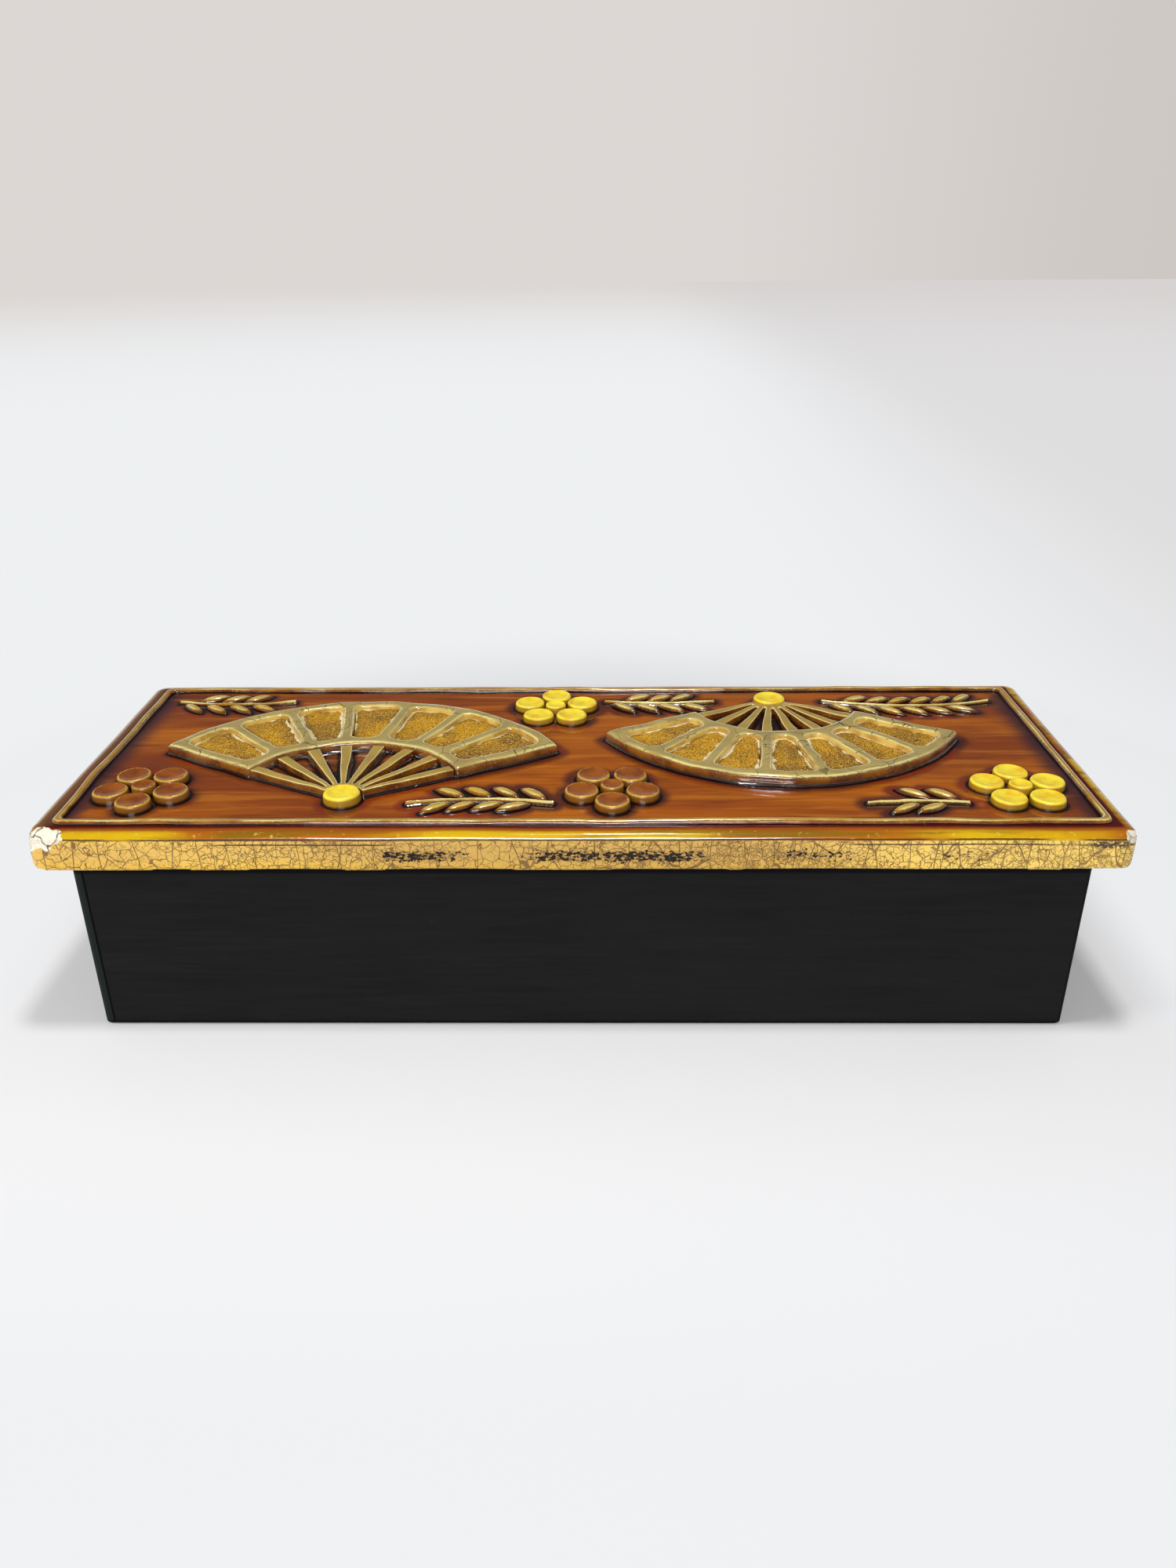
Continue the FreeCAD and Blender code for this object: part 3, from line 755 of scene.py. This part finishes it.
def sanded():
    """Ochre sand, matt and speckled, with painted shade at the foot of the walls and glossy cream glaze
    gathered along them.
    """
    finish = Finish("sanded_glaze")
    wall = finish.attribute("wall")
    tone = finish.cloud(22.0, detail=2.0)
    grain = finish.cloud(0.5, detail=2.0, roughness=0.65)
    speck = finish.cloud(0.34, detail=1.0)
    dark = finish.cloud(11.0).rise(0.45, 0.68)
    pooled = (wall + finish.cloud(6.0, distortion=0.6) * 4.2).rise(3.05, 2.75)
    colour = finish.layered(
        tint(206, 150, 20),
        (tone.rise(0.38, 0.62), 158, 112, 36),
        (dark * 0.7, 112, 80, 38),
        (grain.rise(0.5, 0.4) * 0.9, 62, 36, 6),
        (speck.rise(0.54, 0.62) * 0.85, 240, 194, 84),
        # Painted shade, a darker brown, on the sand at the foot of the walls.
        ((wall + grain).rise(1.9, 1.0) * 0.6, 104, 66, 18),
        (pooled, 240, 228, 180),
    )
    sandy = 1.0 - pooled
    return finish.coat(colour, (grain * 0.7 + speck * 0.3) * sandy, 0.4, {
        "Roughness": 0.12 + 0.6 * sandy,
        "Specular IOR Level": 0.2,
    })


sand = sanded()
for side, leaf in fan_leaves.items():
    beds = clay(side + "_sand_beds", side + "_panels", sand, grain=0.5, soften=2, waver=0.3, waver_size=2.6)
    note(beds, "wall", distances(beds, [leaf]))
    note(leaf, "bed", distances(leaf, [beds]))
    fit(beds, "lid", side + "_panels")

# The rivets and the gold blossoms.
# Pellets of clay pressed flat with a fingertip, so that each is a little dished inside a soft rim.
# Five stand round a sixth for a blossom. They carry a bright gold that is thickest in the dish.

pellet_sides = 14
pellet_dish = 0.75
pellet_sink = 0.5
unevenness = 0.06
hand = random.Random(seed)


def lumps(node):
    """The separate solids of a frame node, each as the list of its corner points."""
    bm = merged(node)
    seen, found = set(), []
    for first in bm.verts:
        if first in seen:
            continue
        seen.add(first)
        waiting, points = [first], []
        while waiting:
            v = waiting.pop()
            points.append(v.co.copy())
            beyond = [e.other_vert(v) for e in v.link_edges]
            fresh = [other for other in beyond if other not in seen]
            seen.update(fresh)
            waiting += fresh
        found.append(points)
    bm.free()
    return found


def box_of(points):
    low = Vector([min(p[i] for p in points) for i in range(3)])
    high = Vector([max(p[i] for p in points) for i in range(3)])
    return low, high


def pellet(bm, low, high, chance):
    """A pressed pellet in that box: drawn up from a sunk foot, rounded in and dished on top."""
    middle = (low + high) / 2
    radius, height = (high.x - low.x) / 2, high.z - low.z
    brim = 0.95 * height
    outline = (
        # share of the radius, height over the tile
        (1.0, 0.45 * height),
        (0.97, 0.75 * height),
        (0.86, brim),
        (0.72, brim - pellet_dish * MM * 0.5),
        (0.35, brim - pellet_dish * MM),
    )
    everything = list(bmesh.ops.create_circle(bm, segments=pellet_sides, radius=radius)["verts"])
    ring = list({e for v in everything for e in v.link_edges})
    for v in everything:
        v.co.z = -pellet_sink * MM
    reach = 1.0
    for share, level in outline:
        made = bmesh.ops.extrude_edge_only(bm, edges=ring)["geom"]
        grown = [g for g in made if isinstance(g, bmesh.types.BMVert)]
        sides = [g for g in made if isinstance(g, bmesh.types.BMEdge)]
        ring = [e for e in sides if all(v in grown for v in e.verts)]
        for v in grown:
            v.co = Vector((v.co.x * share / reach, v.co.y * share / reach, level))
        everything += grown
        reach = share
    bmesh.ops.contextual_create(bm, geom=ring)
    for v in everything:
        v.co.x *= 1 + chance.uniform(-0.025, 0.025)
        if v.co.z > 0.6 * height:
            v.co.z += chance.uniform(-unevenness, unevenness) * MM
    stretch = chance.uniform(0.96, 1.0)
    turn = Matrix.Rotation(chance.uniform(0, math.pi), 3, "Z")
    for v in everything:
        v.co.y *= stretch
        v.co = turn @ v.co + Vector((middle.x, middle.y, low.z))


def pellets(name, node, finish):
    """A pressed pellet of clay in the place of each round solid of the node."""
    bm = bmesh.new()
    for points in lumps(node):
        pellet(bm, *box_of(points), hand)
    bmesh.ops.recalc_face_normals(bm, faces=bm.faces)
    piece = new_piece(name, bm, finish)
    rounding = piece.modifiers.new("rounding", "SUBSURF")
    rounding.levels = rounding.render_levels = 2
    return piece


def bright_gold():
    """Bright yellow gold over clay: brushed unevenly, browner down the side, and painted shade black at the
    foot.
    """
    finish = Finish("bright_gold")
    blotch = finish.cloud(3.5, detail=4.0)
    fine = finish.cloud(0.6)
    side = finish.facing("Z").rise(0.55, 0.2)
    # foot: painted shade, near black, where the pellet meets the tile.
    foot = (finish.at("Z") - ground + fine * 0.5).rise(1.1, 0.4)
    colour = finish.layered(
        tint(255, 232, 60),
        (blotch.rise(0.4, 0.75), 244, 190, 28),
        (fine.rise(0.64, 0.78) * 0.4, 176, 116, 24),
        (side * 0.8, 150, 92, 22),
        (foot * 0.9, 30, 14, 12),
    )
    return finish.coat(colour, blotch * 0.7 + fine * 0.3, 0.2, {
        "Metallic": 0.04 - 0.03 * foot,
        "Roughness": 0.34 + 0.15 * fine,
        "Coat Weight": 0.15,
        "Coat Roughness": 0.1,
    })


bright = bright_gold()
rivets = []
for side in fan_leaves:
    rivets.append(pellets(side + "_pellet_rivet", side + "_rivet", bright))
    fit(rivets[-1], "lid", side + "_rivet")
gold_petals = pellets("pressed_gold_blossoms", "gold_blossoms", bright)
fit(gold_petals, "lid", "gold_blossoms")

# The amber blossoms.
# The same pressed pellets under the tile's own amber glaze, which fills the dish and draws back from
# the rim, where the gold lustre shows as a ring.


def amber_pellet_glaze():
    """Amber in the dish, a gold ring round it, and painted shade black at the foot."""
    finish = Finish("amber_pellets")
    blotch = finish.cloud(5.0)
    fine = finish.cloud(0.6)
    rim = (finish.attribute("rim") + (fine - 0.5) * 0.3).rise(0.8, 0.9)
    # foot: painted shade, near black, where the pellet meets the tile.
    foot = (finish.at("Z") - ground + fine * 0.5).rise(1.1, 0.4)
    amber = finish.mix(blotch.rise(0.35, 0.7), tint(158, 86, 20), tint(122, 60, 20))
    gold = finish.mix(finish.facing("Z").rise(0.3, 0.7), tint(140, 88, 24), tint(214, 168, 66))
    colour = finish.mix(foot * 0.9, finish.mix(rim, amber, gold), tint(26, 10, 14))
    return finish.coat(colour, blotch * 0.7 + fine * 0.2, 0.2, {
        "Metallic": 0.15 * rim,
        "Roughness": 0.3 + 0.12 * fine,
        "Coat Weight": 0.3,
        "Coat Roughness": 0.1,
    })


amber_petals = pellets("pressed_amber_blossoms", "amber_blossoms", amber_pellet_glaze())
dishes = [box_of(points) for points in lumps("amber_blossoms")]
dishes = [((low + high) / 2, (high.x - low.x) / 2) for low, high in dishes]
points = [v.co for v in amber_petals.data.vertices]
shares = [min((co - middle).xy.length / radius for middle, radius in dishes) for co in points]
note(amber_petals, "rim", shares)
fit(amber_petals, "lid", "amber_blossoms")

# The twigs and their leaves.
# Thin rolls of clay laid in a bend, and grains rolled between the fingers, pointed at both ends and
# pressed down beside them. All take the same gold lustre as the fans, paler on the ridges where the glaze
# thins, with a painted highlight there and painted shade at the foot.

twig_tall = corners("twigs")[1].z - ground
grain_tall = corners("twig_leaves")[1].z - ground
crease_depth, crease_width = 0.12, 0.09

stem_gold = lustre("stem_lustre", tint(196, 152, 48), twig_tall - 0.3, cracks=False, flat=0.55)
grain_gold = lustre("grain_lustre", tint(224, 184, 70), grain_tall, cracks=False)
twigs = clay("rolled_twigs", "twigs", stem_gold, grain=0.25, soften=3, waver=0.3, waver_size=6.0, sink=0.4)
flare(twigs, 0.5)
fit(twigs, "lid", "twigs")


def grains(name, node, finish):
    """A pointed grain in the place of each leaf of the node, with a shallow crease along its ridge."""
    bm = bmesh.new()
    for points in lumps(node):
        low, high = box_of(points)
        flat = [Vector((p.x, p.y, 0)) for p in points]
        root, tip = max(((a, b) for a in flat for b in flat), key=lambda pair: (pair[1] - pair[0]).length)
        way = (tip - root).normalized()
        side = Vector((-way.y, way.x, 0))
        length = (tip - root).length
        width = max(abs((p - root).dot(side)) for p in flat) * 2
        height = (high.z - low.z) * hand.uniform(0.9, 1.0)
        swell = hand.uniform(0.9, 1.02)
        middle = (root + tip) / 2 + Vector((0, 0, low.z))
        for v in bmesh.ops.create_uvsphere(bm, u_segments=16, v_segments=12, radius=0.5)["verts"]:
            across, up, along = v.co
            thin = 1 - 1.6 * abs(along) ** 2.2
            crease = crease_depth * math.exp(-((across / crease_width) ** 2)) if up > 0 else 0.0
            rise = (up * 2 - crease) * height * (0.55 + 0.45 * thin)
            aside = side * across * width * swell * thin
            v.co = middle + way * along * length + aside + Vector((0, 0, rise))
    bmesh.ops.recalc_face_normals(bm, faces=bm.faces)
    return new_piece(name, bm, finish)


leaf_grains = grains("rolled_twig_leaves", "twig_leaves", grain_gold)
fit(leaf_grains, "lid", "twig_leaves")

# The tile.
# A thick slab of pottery with rounded edges, dipped in an amber glaze that pools violet-black beside
# whatever stands on it, deepened there with painted shade that goes near black in the creases, and breaks
# yellow over the edge. Its crazed gold sides are chipped at two corners.

bead_inner_edge = tile_high.x - bead_high.x + 1.2
chips = (
    # corner, size along, across and down
    (Vector((tile_low.x, tile_low.y, ground)), Vector((11.5, 5.2, 6.2))),
    (Vector((tile_high.x, tile_low.y, ground)), Vector((5.0, 3.0, 3.2))),
)
chip_depth = 0.8
pit_runs = (
    # middle, half length and thickness of each run of dark pits along the front
    (-43.0, 15.0, 1.0),
    (10.0, 32.0, 1.0),
    (64.0, 14.0, 0.62),
    (104.0, 10.0, 0.5),
)
pit_height = tile_low.z + 4.6
gold_top = ground - 1.9
seam_height = ground - 3.3
wear_middle, wear_size = (tile_high.x - 8.0, ground - 3.2), (8.0, 1.4)


class TileGlaze(Finish):
    """The tile's finish, in parts that share the places and clouds set out first."""

    def __init__(self):
        super().__init__("tile_glaze")
        self.x, self.y, self.z = (self.at(letter) for letter in "XYZ")
        self.front = self.facing("Y").rise(-0.3, -0.7)
        self.inward_x = tile_high.x - abs(self.x)
        self.inward_y = tile_high.y - abs(self.y)
        self.inward = self.maths("SMOOTH_MIN", self.inward_x, self.inward_y, 1.5)
        self.at_end = (self.inward_x - self.inward_y).rise(3.0, -3.0)
        self.streak = self.cloud(26.0, (2.4, 1, 1), detail=4.0, distortion=0.4)
        self.brushed = self.cloud(3.2, (12, 1, 1), distortion=0.3)
        self.drift = self.cloud(52.0, (1.5, 1, 1), detail=2.0)
        self.fine = self.cloud(1.6)
        self.swing = (self.cloud(40.0, (2, 1, 1), detail=2.0) - 0.5) * 1.6 + (self.fine - 0.5) * 0.5

    def field(self):
        """Amber with browner drifts, going violet-black near what stands on it, where the glaze has pooled
        and painted shade deepens it, and near black with painted shade in the creases.
        """
        brushed, drift, fine = self.brushed, self.drift, self.fine
        relief_gap, bead_gap = self.attribute("relief_gap"), self.attribute("bead_distance")
        browner = (drift + (brushed - 0.5) * 0.3).rise(0.48, 0.68)
        # Violet-black near what stands on the tile: glaze pooled thicker there, with painted shade over it.
        pooled_and_shaded = (relief_gap + (drift - 0.5) * 9.0 + (fine - 0.5) * 0.8).rise(3.4, 0.2)
        red_pool = self.cloud(19.0, (1.6, 1, 1), detail=2.0).rise(0.54, 0.62)
        red_pool = red_pool * (relief_gap + (brushed - 0.5) * 6.0).rise(2.8, 2.5) * relief_gap.rise(0.5, 0.9)
        # Along the bead the same pooled glaze and painted shade, reaching farther in at the ends.
        reach = 2.2 + 6.0 * (self.inward_x - self.inward_y).rise(6.0, -4.0)
        rim = ((bead_gap + (drift - 0.5) * 4.0 + (fine - 0.5) * 0.8) / reach).rise(1.0, 0.1)
        # Painted shade, near black, in the crease where a piece meets the tile.
        contact_shade = self.maths("MINIMUM", relief_gap, bead_gap).rise(1.15, 0.45)
        return self.layered(
            tint(182, 96, 12),
            (self.streak.rise(0.34, 0.64), 140, 64, 16),
            (browner * 0.85, 104, 44, 28),
            (brushed.rise(0.5, 0.7) * 0.5, 206, 124, 26),
            (brushed.rise(0.46, 0.3) * 0.5, 104, 46, 14),
            (pooled_and_shaded * 0.85, 62, 22, 26),
            (red_pool * 0.55, 156, 50, 8),
            (rim * 0.88, 48, 26, 40),
            (contact_shade * 0.95, 8, 4, 8),
        )

    def margin(self):
        """Outside the bead: a red-brown pool, then amber that breaks to yellow over the edge."""
        brushed, fine, swing = self.brushed, self.fine, self.swing
        outer = (self.inward + swing * 0.7).rise(4.3, 3.0)
        margin = self.mix(outer, tint(84, 12, 6), tint(158, 80, 10))
        yellow = self.layered(
            tint(214, 172, 18),
            (self.streak.rise(0.4, 0.62), 176, 98, 14),
            (brushed.rise(0.5, 0.66) * 0.75, 122, 98, 20),
            (fine.rise(0.6, 0.75) * 0.5, 240, 214, 92),
        )
        wide = self.x.rise(120.0, 146.0) * self.at_end
        margin = self.mix((self.inward + swing - 1.4 * wide).rise(3.0, 1.4), margin, yellow)
        dulled = (self.x + swing * 6.0).rise(-128.0, -144.0) * self.at_end
        shade_line = abs(self.z - gold_top + swing * 0.4).rise(0.36, 0.14)
        return self.layered(
            margin,
            (dulled * 0.7, 110, 80, 52),
            (shade_line * 0.9 * brushed.rise(0.36, 0.46), 40, 24, 8),
        )

    def cracks(self):
        """The crazing of the gold: coarse cells, small ones in places and tiny ones where it is busy."""
        broken = self.cloud(2.4, detail=1.0).rise(0.36, 0.48)
        busy = self.cloud(24.0, (2, 1, 1), detail=2.0).rise(0.5, 0.6)
        coarse = self.crazing(3.5, waver=0.9).rise(0.036, 0.012)
        upright = self.crazing(9.0, (1, 1, 4), waver=0.5).rise(0.014, 0.006)
        small = self.crazing(1.7, waver=1.0).rise(0.056, 0.02) * broken
        small = small * self.streak.rise(0.3, 0.44)
        tiny = self.crazing(0.95, waver=1.0).rise(0.085, 0.03) * broken * busy
        return self.most(coarse, upright, small * 0.9, tiny * 0.8)

    def pits(self):
        """How thickly dark pits lie at a point, and where there is one."""
        band = abs(self.z - pit_height + self.swing * 0.8).rise(2.6, 0.8)
        runs = 0.0
        for middle, half, share in pit_runs:
            away = abs(self.x - middle) + self.swing * 4.0
            runs = runs + away.rise(half, 0.5 * half) * share
        amid = self.maths("MINIMUM", band * (runs * self.front), 1.0)
        jagged = self.cloud(0.75, (1.8, 1.8, 1.0), roughness=0.7)
        return amid, (jagged - 0.22 * (1.0 - amid)).rise(0.465, 0.48)

    def gold_side(self):
        """The sides: a gold glaze crazed into small cells, with dark pits in long patches."""
        x, z, swing = self.x, self.z, self.swing
        net = self.cracks()
        amid, pitted = self.pits()
        seam = abs(z - seam_height + swing * 0.5).rise(0.3, 0.12)
        seam = seam * self.cloud(30.0, (2, 1, 1), detail=1.0).rise(0.44, 0.54)
        worn_x = (x - wear_middle[0]) / wear_size[0]
        worn_z = (z - wear_middle[1] + swing * 0.5) / wear_size[1]
        worn = ((worn_x * worn_x + worn_z * worn_z) ** 0.5).rise(1.0, 0.6) * self.front
        rubbed = self.cloud(0.9, detail=2.0).rise(0.44, 0.5)
        gold = self.layered(
            tint(230, 186, 86),
            ((z + swing * 2.0).rise(ground - 6.5, ground - 10.5), 240, 192, 62),
            (self.drift.rise(0.45, 0.7) * 0.35, 212, 160, 72),
            (abs(x + swing * 20.0).rise(105.0, 40.0) * 0.35, 160, 118, 62),
            ((x + swing * 20.0).rise(40.0, 110.0) * 0.75, 255, 216, 106),
            (self.fine.rise(0.62, 0.8) * 0.25, 196, 150, 76),
            (net * 0.82, 92, 56, 8),
            (amid * 0.35, 150, 106, 60),
            (pitted * 0.97, 16, 11, 10),
            (seam * 0.9, 70, 42, 12),
            (worn * rubbed * 0.9, 52, 28, 12),
        )
        return gold, pitted, net * 0.14 + pitted * 0.45 + seam * 0.2

    def chipped(self):
        """Where the clay is bare at the chips, and its colour: cream, chalky, with a dark crack."""
        bare, point = 0.0, (self.x, self.y, self.z)
        for corner, size in chips:
            apart = [(part - middle) / reach for part, middle, reach in zip(point, corner, size)]
            reach = (apart[0] ** 2 + apart[1] ** 2 + apart[2] ** 2) ** 0.5
            bare = bare + (reach + (self.cloud(4.0, detail=2.0) - 0.5) * 0.8).rise(0.97, 0.92)
        crack = self.crazing(6.5, waver=1.0).rise(0.03, 0.01)
        return bare, self.layered(
            tint(240, 234, 214),
            (self.fine.rise(0.4, 0.7), 222, 208, 180),
            (crack * 0.85, 40, 30, 24),
        )

    def whole(self):
        """The parts together: the top, the gold sides below it and the chips."""
        on_field = self.inward.rise(bead_inner_edge - 0.6, bead_inner_edge + 0.4)
        top = self.mix(on_field, self.margin(), self.field())
        gold, pitted, dents = self.gold_side()
        side = (self.z + self.swing * 0.25).rise(gold_top, gold_top - 0.6)
        bare, body = self.chipped()
        gloss = 1.0 - bare
        sound = 1.0 - pitted * side
        colour = self.mix(bare, self.mix(side, top, gold), body)
        return self.coat(colour, self.streak * 0.25 + self.fine * 0.05 - dents * side, 0.6, {
            "Roughness": 0.85 - gloss * (0.74 - 0.2 * side) * sound + 0.08 * self.fine,
            "Specular IOR Level": 0.4,
            "Coat Weight": gloss * (0.6 - 0.35 * side) * sound,
            "Coat Roughness": 0.04,
        })


def flatten_and_chip(tile):
    """Gives the tile one flat sole and breaks its two front corners off."""
    bm = bmesh.new()
    bm.from_mesh(tile.data)
    sole = [v for v in bm.verts if v.co.z < (tile_low.z + 0.3) * MM]
    for v in sole:
        v.co.z = tile_low.z * MM
    inside = set(sole)
    bmesh.ops.delete(bm, geom=[f for f in bm.faces if inside.issuperset(f.verts)], context="FACES")
    bmesh.ops.holes_fill(bm, edges=[e for e in bm.edges if e.is_boundary], sides=0)
    for v in bm.verts:
        for corner, size in chips:
            apart = Vector([(part / MM - middle) / reach for part, middle, reach in zip(v.co, corner, size)])
            cut = 1.0 - apart.length + 0.25 * noise.noise(v.co / (1.5 * MM))
            if cut > 0:
                v.co -= v.normal * min(1.0, 3.0 * cut) * chip_depth * MM
    bm.to_mesh(tile.data)
    bm.free()


tile_hand = {"grain": 1.0, "soften": 2, "waver": 0.22, "waver_size": 28.0}
tile = clay("glazed_lid_tile", "lid_tile", TileGlaze().whole(), **tile_hand)
flatten_and_chip(tile)
on_the_tile = [*fan_leaves.values(), *fan_sticks.values(), *rivets]
on_the_tile += [gold_petals, amber_petals, twigs, leaf_grains]
# Distances to what stands on the tile and to the bead, for the pooled glaze and painted shade beside them.
note(tile, "relief_gap", distances(tile, on_the_tile))
note(tile, "bead_distance", distances(tile, [bead]))
fit(tile, "lid", "lid_tile")

# The floor, the lamps and the camera.
# A pale sweep under soft lamps, seen from in front and above, with the box filling the frame's width.

floor_half = 4.0
warm_grey = tint(220, 215, 212)


def seen(finish):
    """1 for rays that show the surroundings: to the camera, in gloss and through glass."""
    kinds = ("Is Camera Ray", "Is Glossy Ray", "Is Transmission Ray")
    return finish.most(*(finish.add("LightPath", output=kind) for kind in kinds))


def floor_finish():
    """White paper that takes the shadows near the box and shows its own pale tone beyond them."""
    finish = Finish("sweep")
    x, y = (finish.at(letter) for letter in "XY")
    away = finish.add("VectorMath", {"operation": "LENGTH"}, {0: finish.place()}, output="Value")
    paper = finish.mix(finish.cloud(300.0, detail=2.0), tint(248, 248, 249), tint(244, 244, 246))
    lit = finish.add("BsdfPrincipled", {}, {"Base Color": paper, "Roughness": 0.6, "Specular IOR Level": 0.2})
    far = finish.mix(away.rise(1200.0, 4000.0), tint(238, 240, 242), warm_grey)
    behind_right = x.rise(100.0, 500.0) * y.rise(-100.0, 300.0)
    far = finish.mix(behind_right * 0.6, far, tint(212, 208, 208))
    glow = finish.add("Emission", {}, {"Color": far})
    ends = abs(x).rise(162.0, 192.0)
    before = y.rise(-80.0, -180.0)
    clear = finish.most(away.rise(170.0, 320.0), ends * 0.9, before * 0.9)
    factor = seen(finish) * (0.05 + 0.95 * clear)
    finish.add("OutputMaterial", {}, {"Surface": finish.add("MixShader", {}, {0: factor, 1: lit, 2: glow})})
    return finish.owner


bm = bmesh.new()
bmesh.ops.create_grid(bm, x_segments=1, y_segments=1, size=floor_half)
new_piece("sweep_floor", bm, floor_finish(), smooth=False)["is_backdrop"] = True

world = Finish("studio", "worlds")
bpy.context.scene.world = world.owner
way = world.add("TexCoord", output="Generated")
rightward, upward = (world.axis(way, letter) for letter in "XZ")
wall = world.layered(
    warm_grey,
    (rightward.rise(0.05, 0.45), 205, 199, 196),
    (upward.rise(0.17, 0.3), 70, 70, 72),
)
ambient = world.add("Background", {}, {"Color": (0.28, 0.28, 0.285, 1.0)})
backdrop = world.add("Background", {}, {"Color": wall})
light = world.add("MixShader", {}, {0: seen(world), 1: ambient, 2: backdrop})
world.add("OutputWorld", {}, {"Surface": light})

lamps = (
    # name, place, size along and across, power, whether it shows in the gloss
    ("overhead_softbox", (0.03, -0.12, 0.67), (0.07, 0.07), 1.55, True),
    ("left_softbox", (-1.50, -0.35, 0.75), (0.50, 0.50), 10.7, False),
    ("front_strip", (-0.06, -0.90, 0.45), (0.50, 0.05), 4.4, True),
)
aim = Vector((0, 0, 0.05))
for name, spot, size, power, glossy in lamps:
    lamp = bpy.data.lights.new(name, "AREA")
    lamp.shape = "RECTANGLE"
    lamp.size, lamp.size_y = size
    lamp.energy = power
    holder = bpy.data.objects.new(name, lamp)
    holder.location = spot
    holder.visible_glossy = glossy
    holder.rotation_euler = (aim - Vector(spot)).to_track_quat("-Z", "Y").to_euler()
    bpy.context.scene.collection.objects.link(holder)

camera = bpy.data.objects.new("camera", bpy.data.cameras.new("camera"))
camera.data.lens = 26.88
camera.data.sensor_width = 36.0
place = Matrix.Translation((0.0052, -0.3295, 0.2180))
turns = ((0.588, "Z"), (63.912, "X"), (-0.332, "Z"))
turn, tip, roll = (Matrix.Rotation(math.radians(angle), 4, axis) for angle, axis in turns)
camera.matrix_world = place @ turn @ tip @ roll
bpy.context.scene.collection.objects.link(camera)
bpy.context.scene.camera = camera
bpy.context.scene.view_settings.view_transform = "Standard"

boxes = {"cad": cad_box, "visual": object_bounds()}
